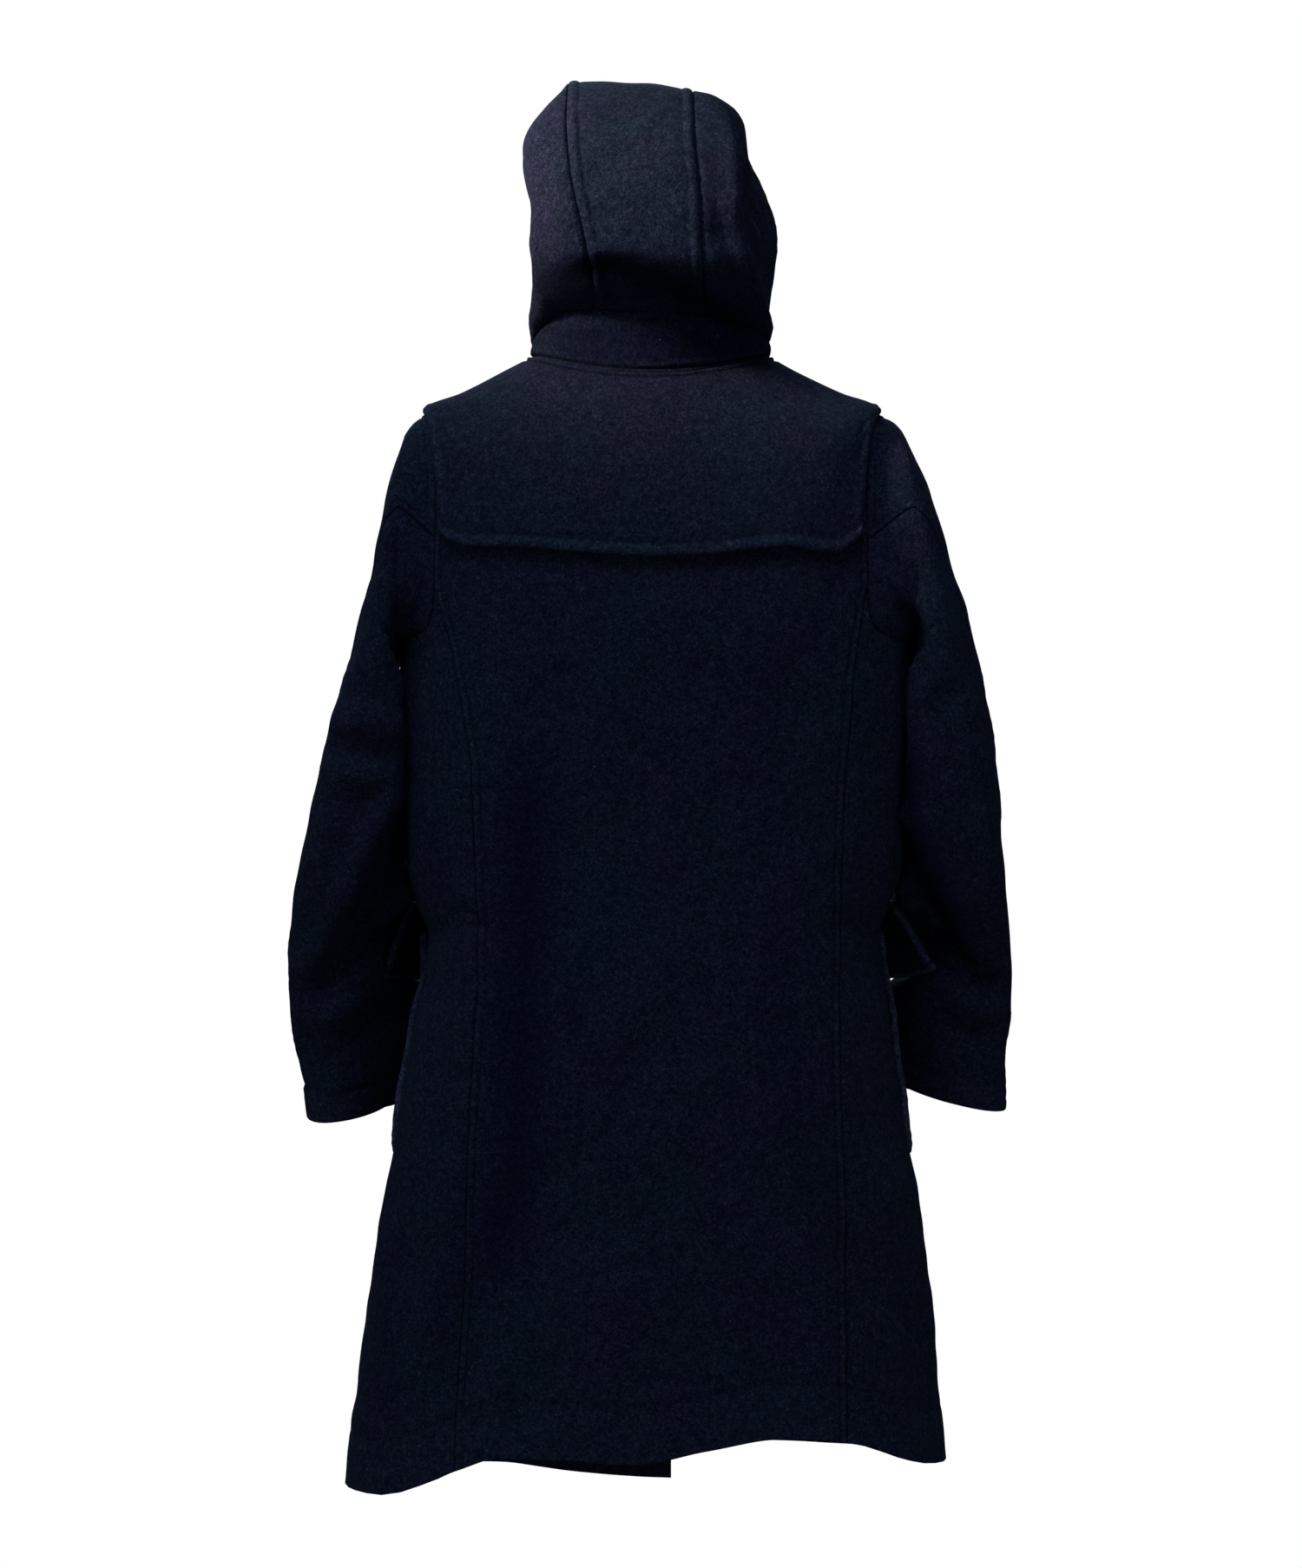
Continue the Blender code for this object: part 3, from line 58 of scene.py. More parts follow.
# Body, ring by ring.  z_* is the height at centre back, side and centre front;
# left, right are half widths; back, front are depths; n is the squareness.
BODY = {
    # ring:  z_back  z_side  z_front  left    right   back    front   n
    0:  (-0.021, -0.002, -0.066, 0.1000, 0.0990, 0.0720, 0.0880, 2.00),   # neck
    1:  (-0.047, -0.018, -0.090, 0.1280, 0.1280, 0.0880, 0.0980, 2.05),
    2:  (-0.078, -0.033, -0.116, 0.1590, 0.1600, 0.1000, 0.1060, 2.10),
    3:  (-0.112, -0.045, -0.142, 0.1890, 0.1910, 0.1080, 0.1110, 2.20),   # shoulder
    4:  (-0.150, -0.085, -0.170, 0.2030, 0.2070, 0.1125, 0.1150, 2.30),
    5:  (-0.190, -0.140, -0.200, 0.2080, 0.2140, 0.1150, 0.1180, 2.35),
    6:  (-0.228, -0.198, -0.232, 0.2105, 0.2190, 0.1160, 0.1190, 2.40),
    7:  (-0.262, -0.250, -0.262, 0.2125, 0.2215, 0.1155, 0.1190, 2.40),   # underarm
    8:  (-0.305, -0.305, -0.305, 0.2146, 0.2220, 0.1140, 0.1180, 2.40),
    9:  (-0.350, -0.350, -0.350, 0.2115, 0.2190, 0.1120, 0.1170, 2.40),
    10: (-0.395, -0.395, -0.395, 0.2095, 0.2168, 0.1100, 0.1160, 2.40),
    11: (-0.435, -0.435, -0.435, 0.2060, 0.2105, 0.1095, 0.1165, 2.40),   # waist
    12: (-0.462, -0.462, -0.462, 0.1980, 0.2000, 0.1110, 0.1170, 2.38),
    13: (-0.485, -0.485, -0.485, 0.1900, 0.1925, 0.1125, 0.1180, 2.36),   # pocket top
    14: (-0.515, -0.515, -0.515, 0.1900, 0.1960, 0.1150, 0.1190, 2.34),
    15: (-0.545, -0.545, -0.545, 0.1980, 0.2020, 0.1170, 0.1200, 2.32),
    16: (-0.590, -0.590, -0.590, 0.2065, 0.2080, 0.1190, 0.1220, 2.30),
    17: (-0.640, -0.640, -0.640, 0.2150, 0.2145, 0.1210, 0.1240, 2.30),
    18: (-0.690, -0.690, -0.690, 0.2245, 0.2255, 0.1230, 0.1260, 2.30),
    19: (-0.740, -0.740, -0.740, 0.2335, 0.2320, 0.1255, 0.1290, 2.30),
    20: (-0.790, -0.790, -0.790, 0.2410, 0.2385, 0.1285, 0.1320, 2.30),
    21: (-0.840, -0.840, -0.840, 0.2490, 0.2430, 0.1315, 0.1350, 2.30),
    22: (-0.880, -0.880, -0.880, 0.2560, 0.2465, 0.1345, 0.1380, 2.30),
    23: (-0.910, -0.910, -0.910, 0.2590, 0.2480, 0.1370, 0.1410, 2.30),   # hem
}
HEM_RING = 23
HIP_RING = 11            # the hem's slope fades out here

# Height of the hem round the coat, degrees from centre back toward the left side.
HEM = {
    -196: -0.936, -180: -0.938, -150: -0.938, -120: -0.935, -92: -0.929,
    -78: -0.926, -65: -0.922, -52: -0.9115, -43: -0.9005, -30: -0.8925,
    -20: -0.8910, -8: -0.8985, 3: -0.9086, 12: -0.9060, 25: -0.9070,
    35: -0.9190, 42: -0.9310, 57: -0.9447, 75: -0.9470, 92: -0.9490,
    120: -0.9510, 140: -0.9530, 152: -0.9560, 166: -0.9660, 176: -0.9715,
    186: -0.9735, 196: -0.9735,
}

# Half widths where panels end, seen from behind, by ring.
ARMHOLE_BACK = {3: None, 3.25: 0.1845, 4: 0.1790, 5: 0.1790, 6: 0.1800, 6.5: 0.1860, 7: None}
ARMHOLE_FRONT = {3: None, 3.25: 0.1830, 4: 0.1745, 5: 0.1715, 6: 0.1740, 6.5: 0.1830, 7: None}
PRINCESS_LEFT = {5.75: 0.1792, 6.5: 0.1690, 7.4: 0.1600, 8.4: 0.1510, 9.2: 0.1466, 11: 0.1444,
                 14: 0.1423, 16: 0.1466, 17.2: 0.1508, 19: 0.1530, 20.3: 0.1565, 22: 0.1608, 23: 0.1610}
PRINCESS_RIGHT = {5.75: 0.1782, 6.5: 0.1728, 7.4: 0.1672, 8.4: 0.1635, 9.2: 0.1601, 11: 0.1570,
                  14: 0.1565, 16: 0.1558, 17.2: 0.1575, 19: 0.1600, 20.3: 0.1601, 22: 0.1604, 23: 0.1608}
SPLIT_RING = 5.75        # where the princess seam leaves the armhole

# Broad folds of the back skirt: path from top to bottom, half width, depth (in = minus).
FOLDS = [
    # x_top   z_top    x_mid   z_mid    x_low   z_low    width   depth
    (0.103, -0.480, 0.100, -0.680, 0.180, -0.900, 0.028, -0.007),
    (0.060, -0.640, 0.085, -0.800, 0.125, -0.910, 0.022, -0.003),
    (0.030, -0.720, 0.030, -0.830, 0.030, -0.910, 0.045, 0.006),
    (-0.135, -0.700, -0.175, -0.790, -0.222, -0.860, 0.016, -0.003),
    (-0.090, -0.780, -0.100, -0.860, -0.105, -0.920, 0.030, -0.004),
]

# Yoke edges.  Bottom at the back by x, side edges by height.
YOKE_BOTTOM = {-0.175: -0.1600, -0.162: -0.1620, -0.150: -0.1700, -0.134: -0.1692, -0.110: -0.1657, -0.085: -0.1678,
               -0.045: -0.1728, -0.004: -0.1742, 0.050: -0.1714, 0.104: -0.1664, 0.147: -0.1643,
               0.160: -0.1600, 0.175: -0.1560}
YOKE_FRONT_BOTTOM = -0.205
YOKE_SIDE = {-0.170: 0.1600, -0.155: 0.1625, -0.144: 0.1645, -0.118: 0.1680, -0.093: 0.1730,
             -0.0725: 0.1765, -0.055: 0.1840, -0.043: 0.1880, 0.0: 0.20}

# Sleeves.  Each ring is an ellipse through an outer point T and an inner point U,
# with half depths toward the back (plus a drop) and the front, turned by yaw.
SLEEVE_LEFT = [
    # Tx      Ty      Tz      Ux      Uy      Uz     back   drop    front  yaw
    (0.2040, 0.000, -0.0630, 0.2190, 0.000, -0.2465, 0.0720, 0.000, 0.0720, 0),
    (0.2180, 0.000, -0.1080, 0.2205, 0.000, -0.2570, 0.0770, 0.000, 0.0770, 0),
    (0.2275, -0.002, -0.1650, 0.2210, -0.001, -0.2680, 0.0790, 0.000, 0.0790, 0),
    (0.2430, -0.005, -0.2220, 0.2205, -0.003, -0.2800, 0.0790, 0.000, 0.0790, 0),
    (0.2575, -0.008, -0.2800, 0.2210, -0.006, -0.3000, 0.0780, 0.000, 0.0780, 2),
    (0.2750, -0.012, -0.3450, 0.2200, -0.010, -0.3300, 0.0760, 0.000, 0.0760, 5),
    (0.2880, -0.018, -0.4080, 0.2185, -0.016, -0.3680, 0.0720, 0.004, 0.0740, 8),
    (0.2985, -0.028, -0.4700, 0.2200, -0.026, -0.4120, 0.0640, 0.004, 0.0700, 10),
    (0.3040, -0.038, -0.5170, 0.2215, -0.048, -0.4620, 0.0530, 0.000, 0.0640, 10),
    (0.3045, -0.048, -0.5500, 0.2200, -0.064, -0.5080, 0.0520, 0.004, 0.0580, 10),
    (0.3000, -0.058, -0.5850, 0.2110, -0.078, -0.5540, 0.0500, 0.008, 0.0540, 10),
    (0.2950, -0.064, -0.6150, 0.2150, -0.084, -0.5980, 0.0490, 0.010, 0.0510, 10),
    (0.2916, -0.068, -0.6400, 0.2230, -0.088, -0.6300, 0.0485, 0.012, 0.0500, 10),
]
SLEEVE_RIGHT = [
    (0.2110, 0.000, -0.0630, 0.2280, 0.000, -0.2465, 0.0720, 0.000, 0.0720, 0),
    (0.2310, 0.000, -0.1080, 0.2290, 0.000, -0.2570, 0.0770, 0.000, 0.0770, 0),
    (0.2473, -0.002, -0.1650, 0.2290, -0.001, -0.2680, 0.0790, 0.000, 0.0790, 0),
    (0.2655, -0.005, -0.2220, 0.2270, -0.003, -0.2800, 0.0790, 0.000, 0.0790, 0),
    (0.2795, -0.008, -0.2800, 0.2265, -0.006, -0.3000, 0.0780, 0.000, 0.0780, 2),
    (0.2865, -0.012, -0.3450, 0.2255, -0.010, -0.3300, 0.0760, 0.000, 0.0760, 5),
    (0.2915, -0.018, -0.4050, 0.2250, -0.016, -0.3700, 0.0720, 0.004, 0.0740, 8),
    (0.2975, -0.028, -0.4600, 0.2280, -0.026, -0.4150, 0.0640, 0.004, 0.0700, 10),
    (0.3025, -0.038, -0.5050, 0.2290, -0.048, -0.4600, 0.0530, 0.000, 0.0640, 10),
    (0.3055, -0.048, -0.5420, 0.2370, -0.066, -0.5080, 0.0440, 0.004, 0.0580, 10),
    (0.3025, -0.058, -0.5800, 0.2130, -0.078, -0.5480, 0.0500, 0.006, 0.0540, 10),
    (0.3010, -0.064, -0.6120, 0.2160, -0.084, -0.5930, 0.0490, 0.006, 0.0510, 10),
    (0.3015, -0.068, -0.6370, 0.2220, -0.088, -0.6200, 0.0485, 0.006, 0.0500, 10),
]
# Where the sleeve's two seams lie, in degrees round from the outer point (90 is back).
BACK_SEAM = {0: 90, 1: 76, 2: 62, 3: 48, 4: 36, 5: 27, 7: 18, 13: 16}
FRONT_SEAM = {0: -112.02, 4: -125, 8: -138, 13: -142}
# The upper arm rests against the body: share by ring, and how far in it reaches by height.
REST = {3: 0.0, 4: 0.9, 5: 1.0, 8.5: 1.0, 9.3: 0.0}
REST_LEFT = {-0.50: 0.1990, -0.462: 0.1995, -0.446: 0.2009, -0.415: 0.2050, -0.362: 0.2067, -0.312: 0.2090, -0.25: 0.2090}
REST_RIGHT = {-0.50: 0.1930, -0.455: 0.1950, -0.429: 0.2050, -0.388: 0.2115, -0.313: 0.2165, -0.25: 0.2160}
REST_GAP = 0.0042

# Hood.  Profile of the centre strip: y, z from the front edge over the top to the stand.
HOOD_PROFILE = [
    # along    y       z
    (0.00, -0.105, 0.2000), (0.10, -0.072, 0.2190), (0.20, -0.030, 0.2310), (0.32, 0.020, 0.2350),
    (0.42, 0.062, 0.2270), (0.52, 0.098, 0.2040), (0.62, 0.124, 0.1720), (0.72, 0.139, 0.1330),
    (0.80, 0.1435, 0.1000), (0.87, 0.1400, 0.0720), (0.93, 0.1220, 0.0500), (0.97, 0.1000, 0.0370),
    (1.00, 0.0850, 0.0290),
]
HOOD_CROWN = 0.50        # where the side panel's top edge turns into its back edge
HOOD_LEAN = 0.017        # the hood leans to the left by this much at its top
# Side panels: half width of the panel's middle by height, and the front edge.
HOOD_SIDE_LEFT = {0.00: 0.100, 0.03: 0.1010, 0.06: 0.0990, 0.10: 0.0985, 0.14: 0.1030, 0.165: 0.1070, 0.187: 0.0990,
                  0.198: 0.0900, 0.209: 0.0790, 0.22: 0.0715, 0.23: 0.0690}
HOOD_SIDE_RIGHT = {0.00: 0.100, 0.03: 0.1000, 0.06: 0.0930, 0.10: 0.0850, 0.14: 0.0800, 0.165: 0.0800, 0.187: 0.0785,
                   0.198: 0.0740, 0.209: 0.0620, 0.2168: 0.0500, 0.2205: 0.0430, 0.228: 0.0370}
HOOD_FRONT_LEFT = [
    # up      x       y       z
    (0.00, 0.0260, -0.0870, -0.0550), (0.15, 0.0600, -0.0960, -0.0120), (0.35, 0.0900, -0.1050, 0.0500),
    (0.60, 0.1000, -0.1110, 0.1160), (0.80, 0.0960, -0.1110, 0.1640), (0.92, 0.0830, -0.1080, 0.1900),
    (1.00, 0.0690, -0.1050, 0.2000),
]
HOOD_FRONT_RIGHT = [
    (0.00, 0.0260, -0.0870, -0.0550), (0.15, 0.0640, -0.0960, -0.0120), (0.35, 0.1000, -0.1050, 0.0500),
    (0.60, 0.1110, -0.1080, 0.1160), (0.80, 0.0990, -0.1080, 0.1600), (0.92, 0.0720, -0.1060, 0.1920),
    (1.00, 0.0350, -0.1050, 0.2000),
]
STAND_END = 163.0        # the stand and hood end this far round from centre back
STAND_TOP = {-163: 0.012, -130: 0.010, -90: 0.011, -60: 0.026, -35: 0.040, -15: 0.048, 0: 0.050,
             20: 0.050, 40: 0.046, 60: 0.030, 90: 0.009, 130: 0.010, 163: 0.012}
STAND_LEAN = {-163: 0.001, -90: 0.003, -40: 0.008, 0: 0.012, 40: 0.008, 90: 0.003, 163: 0.001}

# Pockets: angle round at the rear and front edge, heights of top and bottom.
POCKET = {"rear": 97.5, "front": 150.0, "top": -0.4850, "bottom": -0.6770}
FLAP_TOP = -0.4600
FLAP_LENGTH = 0.070
FLAP_SWING = {"left": (21.0, 12.0), "right": (33.0, 12.0)}   # rear, front, degrees out

TOGGLE_Z = (-0.245, -0.355, -0.465, -0.575)
TOGGLE_X = 0.004
TOGGLE_LENGTH = 0.050
TOGGLE_RADIUS = 0.0065
GROOVE_RADIUS = 0.0042
CORD_RADIUS = 0.0019
PATCH = {"width": 0.036, "height": 0.040, "thick": 0.0020}


# ---------------------------------------------------------------- tables to curves
class Curve:
    """Shape-preserving cubic through a table."""

    def __init__(self, xs, ys):
        self.xs, self.ys = np.asarray(xs, float), np.asarray(ys, float)
        self.h = np.diff(self.xs)
        d = np.diff(self.ys) / self.h
        self.m = np.zeros_like(self.ys)
        self.m[0], self.m[-1] = d[0], d[-1]
        for i in range(1, len(self.xs) - 1):
            if d[i - 1] * d[i] > 0:
                w1, w2 = 2 * self.h[i] + self.h[i - 1], self.h[i] + 2 * self.h[i - 1]
                self.m[i] = (w1 + w2) / (w1 / d[i - 1] + w2 / d[i])

    def __call__(self, x):
        x = np.clip(np.asarray(x, float), self.xs[0], self.xs[-1])
        i = np.clip(np.searchsorted(self.xs, x) - 1, 0, len(self.xs) - 2)
        h = self.h[i]
        t = (x - self.xs[i]) / h
        return ((1 + 2 * t) * (1 - t) ** 2 * self.ys[i] + t * (1 - t) ** 2 * h * self.m[i]
                + t * t * (3 - 2 * t) * self.ys[i + 1] + t * t * (t - 1) * h * self.m[i + 1])


CURVES = {}


def look(rows, x):
    if id(rows) not in CURVES:
        keys = sorted(rows)
        CURVES[id(rows)] = Curve(keys, [rows[k] for k in keys])
    return CURVES[id(rows)](x)


def columns(rows):
    """One curve for each column of a list of rows, over the row number from 1."""
    return [Curve(range(1, len(rows) + 1), [row[i] for row in rows]) for i in range(len(rows[0]))]


RING = [Curve(sorted(BODY), [BODY[k][i] for k in sorted(BODY)]) for i in range(8)]


def ring(s, column):
    return RING[column](s)


def smooth(t):
    t = np.clip(t, 0, 1)
    return t * t * (3 - 2 * t)


def unit(v):
    return v / np.maximum(np.linalg.norm(v, axis=-1, keepdims=True), 1e-12)


# ---------------------------------------------------------------- the body surface
def fold_relief(x, z):
    out = np.zeros_like(x)
    for xt, zt, xm, zm, xl, zl, width, depth in FOLDS:
        path = Curve([zl, zm, zt], [xl, xm, xt])(z)
        t = np.clip(3 * (zt - z) / (zt - zl), 0, 1)
        out = out + depth * np.exp(-((x - path) / width) ** 2) * t * t * (3 - 2 * t)
    return out


def body(theta, s):
    """Point of the body's outer face; theta in degrees from centre back, + to the left."""
    theta, s = np.broadcast_arrays(np.asarray(theta, float), np.asarray(s, float))
    a = np.radians(theta)
    si, co = np.sin(a), np.cos(a)
    e = 2.0 / ring(s, 7)
    half = np.where(si >= 0, ring(s, 3), ring(s, 4))
    x = half * np.sign(si) * np.abs(si) ** e
    deep = np.where(co >= 0, ring(s, 5), ring(s, 6))
    y = deep * np.sign(co) * np.abs(co) ** e
    w = si ** 2
    z = ring(s, 1) * w + np.where(co >= 0, ring(s, 0), ring(s, 2)) * (1 - w)
    fall = np.clip((s - HIP_RING) / (HEM_RING - HIP_RING), 0, 1) ** 1.5
    z = z + (look(HEM, theta) - BODY[HEM_RING][0]) * fall
    y = y + fold_relief(x, z) * np.clip(co * 3, 0, 1)
    return np.stack([x, y, z], axis=-1)


def body_normal(theta, s):
    theta, s = np.broadcast_arrays(np.asarray(theta, float), np.asarray(s, float))
    a = body(theta + 0.4, s) - body(theta - 0.4, s)
    b = body(theta, np.clip(s + 0.01, 0, HEM_RING)) - body(theta, np.clip(s - 0.01, 0, HEM_RING))
    return unit(np.cross(a, b))


def angle_of(x, s):
    """Angle (0..90) where the ring has half width x; x < 0 is the right side."""
    x, s = np.broadcast_arrays(np.asarray(x, float), np.asarray(s, float))
    half = np.where(x >= 0, ring(s, 3), ring(s, 4))
    return np.sign(x) * np.degrees(np.arcsin(np.clip(np.abs(x) / half, 0, 1) ** (ring(s, 7) / 2.0)))


def nudge(theta, s, move):
    """Angle moved along the ring by a length."""
    per = np.linalg.norm(body(theta + 0.2, s) - body(theta - 0.2, s), axis=-1) / 0.4
    return theta + move / np.maximum(per, 1e-6)


EDGES = {}


def edge_angle(side, back, s):
    """Armhole edge as an angle from centre back, for rings 3 to 7."""
    if (side, back) not in EDGES:
        rows = ARMHOLE_BACK if back else ARMHOLE_FRONT
        keys = sorted(rows)
        EDGES[side, back] = Curve(keys, [90.0 if rows[k] is None else abs(float(angle_of(rows[k] * side, k))) for k in keys])
    v = EDGES[side, back](s)
    return v if back else 180.0 - v


def mitre(one, other):
    """Direction from the inner to the outer corner where two walls with these normals meet."""
    return (one + other) / np.maximum(1 + (one * other).sum(axis=-1, keepdims=True), 0.6)


# ---------------------------------------------------------------- armholes and the sleeve surface
HOLE_BACK = [3.0] + [5.0 - 2.0 * math.cos(math.radians(v)) for v in range(4, 178, 4)] + [7.0]
HOLE_FRONT = list(HOLE_BACK)
SLEEVE_COLUMNS = {1: columns(SLEEVE_LEFT), -1: columns(SLEEVE_RIGHT)}
HOLES = {}


def turn_of(s):
    """Angle round the armhole of a body ring: 0 at the shoulder, 180 at the underarm."""
    return math.degrees(math.acos(max(-1.0, min(1.0, (5.0 - s) / 2.0))))


def body_half(side, y, z):
    """Half width of the body at a depth and a height below the underarm."""
    steps = np.linspace(6.5, 15.0, 120)
    s = np.interp(-z, -ring(steps, 1), steps)
    deep = np.where(y >= 0, ring(s, 5), ring(s, 6))
    e = 2.0 / ring(s, 7)
    co = np.clip(np.abs(y) / deep, 0, 1) ** (1 / e)
    return ring(s, 3 if side > 0 else 4) * (1 - co * co) ** (e / 2)


def sleeve_oval(side, k, phi):
    a = np.radians(np.asarray(phi, float))
    tx, ty, tz, ux, uy, uz, qb, drop, qf, yaw = [float(c(k)) for c in SLEEVE_COLUMNS[side]]
    t, u = np.array([tx, ty, tz]), np.array([ux, uy, uz])
    centre, arm = (t + u) / 2, (t - u) / 2
    yw = math.radians(yaw)
    e = 2 / 2.15
    c = np.sign(np.cos(a)) * np.abs(np.cos(a)) ** e
    s = np.sign(np.sin(a)) * np.abs(np.sin(a)) ** e
    deep = np.where(s >= 0, qb, qf)
    lean = np.where(s >= 0, -drop / qb, drop / qf)
    back = np.stack([np.full_like(s, math.sin(yw)), np.full_like(s, math.cos(yw)), lean], axis=-1)
    p = centre + arm * c[..., None] + back * (deep * s)[..., None]
    share = float(look(REST, k))
    if share > 0:
        turn = np.asarray(phi, float) % 360.0
        reach = np.maximum(body_half(side, p[..., 1], p[..., 2]) + REST_GAP, look(REST_LEFT if side > 0 else REST_RIGHT, p[..., 2]))
        w = smooth((turn - 84) / 34) * smooth((208 - turn) / 28) * smooth((p[..., 1] + 0.012) / 0.02)
        p[..., 0] += np.minimum(reach - p[..., 0], 0) * w * share
    p[..., 0] *= side
    return p


def hole(side):
    """The seam of body and sleeve at the panels' own rings: angle, point, run, mitre, joint, aim."""
    if side in HOLES:
        return HOLES[side]
    rows = [(-turn_of(s), False, s) for s in reversed(HOLE_FRONT)] + [(turn_of(s), True, s) for s in HOLE_BACK[1:]]
    phi = np.array([r[0] for r in rows])
    ang = [90.0 * side if s in (3, 7) else side * float(edge_angle(side, back, s)) for _, back, s in rows]
    p = np.array([body(a, s) for a, (_, _, s) in zip(ang, rows)])
    n = np.array([body_normal(a, s) for a, (_, _, s) in zip(ang, rows)])
    run = np.zeros_like(p)
    run[1:-1] = unit(p[2:] - p[1:-1]) + unit(p[1:-1] - p[:-2])
    run[0] = run[-1] = unit(p[1] - p[0]) + unit(p[-1] - p[-2])
    run = unit(run)
    away = unit(np.cross(n, run))
    mid = int(np.argmin(np.abs(phi)))
    if away[mid, 0] * side < 0:
        away = -away
    first = sleeve_oval(side, 1.0, phi)
    w = smooth((np.cos(np.radians(phi)) + 0.35) / 0.6)[:, None]
    aim = unit(away * w + unit(first - p) * (1 - w))
    aim = unit(aim - run * (aim * run).sum(axis=-1, keepdims=True))
    sn = unit(np.cross(run, aim))
    if (sn[mid] * n[mid]).sum() < 0:
        sn = -sn
    m = mitre(n, sn)
    j = unit(np.cross(run, m))
    if (j[mid] * away[mid]).sum() < 0:
        j = -j
    HOLES[side] = (phi, p, run, m, j, aim)
    return HOLES[side]


def hole_edge(side, back, s, way):
    """Outer and inner point of the edge beside the armhole: way -1 on the body."""
    phi, p, run, m, j, _ = hole(side)
    at = turn_of(s) if back else -turn_of(s)
    i = int(np.argmin(np.abs(phi - at)))
    q = p[i] + way * j[i] * SEAM / 2
    if s in (3, 7):
        q = q + run[i] * GAP / 2 * (1 if (s == 3) == back else -1)
    return q, q - WALL * m[i]


def sleeve(side, k, phi):
    """Point of the sleeve's outer face: k 0 at the armhole, 13 at the cuff."""
    phi = np.asarray(phi, float)
    if k >= 1:
        return sleeve_oval(side, k, phi)
    st, p, _, _, _, aims = hole(side)
    w = (phi + 180.0) % 360.0 - 180.0
    start = np.stack([np.interp(w, st, p[:, i]) for i in range(3)], axis=-1)
    aim = unit(np.stack([np.interp(w, st, aims[:, i]) for i in range(3)], axis=-1))
    first = sleeve_oval(side, 1.0, phi)
    m0 = aim * np.linalg.norm(first - start, axis=-1, keepdims=True)
    m1 = (sleeve_oval(side, 2.0, phi) - start) / 2
    t = k
    return ((1 + 2 * t) * (1 - t) ** 2 * start + t * (1 - t) ** 2 * m0
            + t * t * (3 - 2 * t) * first + t * t * (t - 1) * m1)


def sleeve_normal(side, k, phi):
    phi = np.asarray(phi, float)
    a = sleeve(side, k, phi + 3) - sleeve(side, k, phi - 3)
    b = sleeve(side, min(k + 0.12, 13.0), phi) - sleeve(side, max(k - 0.12, 0.05), phi)
    return unit(np.cross(b, a)) * side



# ---------------------------------------------------------------- panel edges
def side_edge(side, back, s):
    """Outer edge of a back or front panel from neck to underarm, then the side seam."""
    if s <= 3:
        return side * 90.0
    if s < 7:
        return side * float(edge_angle(side, back, s))
    return side * float(np.interp(s, [7, 9], [90.0, SIDE_SEAM]))


def princess(side, s):
    return float(angle_of(look(PRINCESS_LEFT if side > 0 else PRINCESS_RIGHT, s) * side, s))


def back_edge(side, s):
    return side_edge(side, True, s) if s <= SPLIT_RING else princess(side, s)


def lap_angle(x, s):
    """Angle past 180 degrees where the ring reaches a front edge."""
    ths = np.linspace(180.0, 215.0, 141)
    return float(np.interp(x, -body(ths, s)[:, 0], ths))


def over_lift(x):
    """The right front climbs over the left one near the centre."""
    return (WALL + 0.0022) * smooth((x + 0.085) / 0.045)



YOKE_FLOAT = 0.0016      # between the yoke and the panels it lies on
YOKE_LIFT = 0.0030       # its bottom edge stands off by this much more

# ---------------------------------------------------------------- hood surface
STRIP_ANGLE = 26.0
HOOD_T = np.linspace(0, 1, 9)
HOOD_S = np.array([0, 0.08, 0.2, 0.35, 0.5, 0.65, 0.8, 0.91, 1.0])
STRIP_U = np.array([-1, -0.5, 0, 0.5, 1.0])
HOOD_MIDDLE = np.array([0.0, 0.0, 0.09])
PROFILE = [Curve([row[0] for row in HOOD_PROFILE], [row[i] for row in HOOD_PROFILE]) for i in (1, 2)]
HOOD_FRONTS = {side: [Curve([row[0] for row in rows], [row[i] for row in rows]) for i in (1, 2, 3)]
               for side, rows in ((1, HOOD_FRONT_LEFT), (-1, HOOD_FRONT_RIGHT))}


def level(theta):
    a = np.radians(np.asarray(theta, float))
    return np.stack([np.sin(a), np.cos(a), np.zeros_like(a)], axis=-1)


def stand_point(theta, f):
    theta = np.asarray(theta, float)
    p = body(theta, 0.0)
    d = unit(p - body(theta, 0.15))
    up = look(STAND_TOP, theta) * f
    lift = np.stack([np.zeros_like(up), np.zeros_like(up), up], axis=-1)
    return p + d * 0.0010 + lift + level(theta) * (look(STAND_LEAN, theta) * f)[..., None]


def strip_edge(side, r):
    """Seam between the centre strip and a side panel, r 0 at the front .. 1 at the stand."""
    r = np.asarray(r, float)
    y, z = PROFILE[0](r), PROFILE[1](r)
    half = 0.044 + (STRIP_HALF - 0.044) * smooth((z - 0.03) / 0.12)
    x = side * half + HOOD_LEAN * smooth(z / 0.2)
    z = z - 0.006 * smooth((z - 0.05) / 0.1) * (side < 0) - 0.0060 * smooth((z - 0.12) / 0.1)
    y = y - 0.006 * smooth((r - 0.4) / 0.2) * smooth((1 - r) / 0.1)
    end = stand_point(float(side) * STRIP_ANGLE, 1.0)
    t = smooth((r - 0.93) / 0.07)[..., None]
    return np.stack([x, y, z], axis=-1) * (1 - t) + end * t


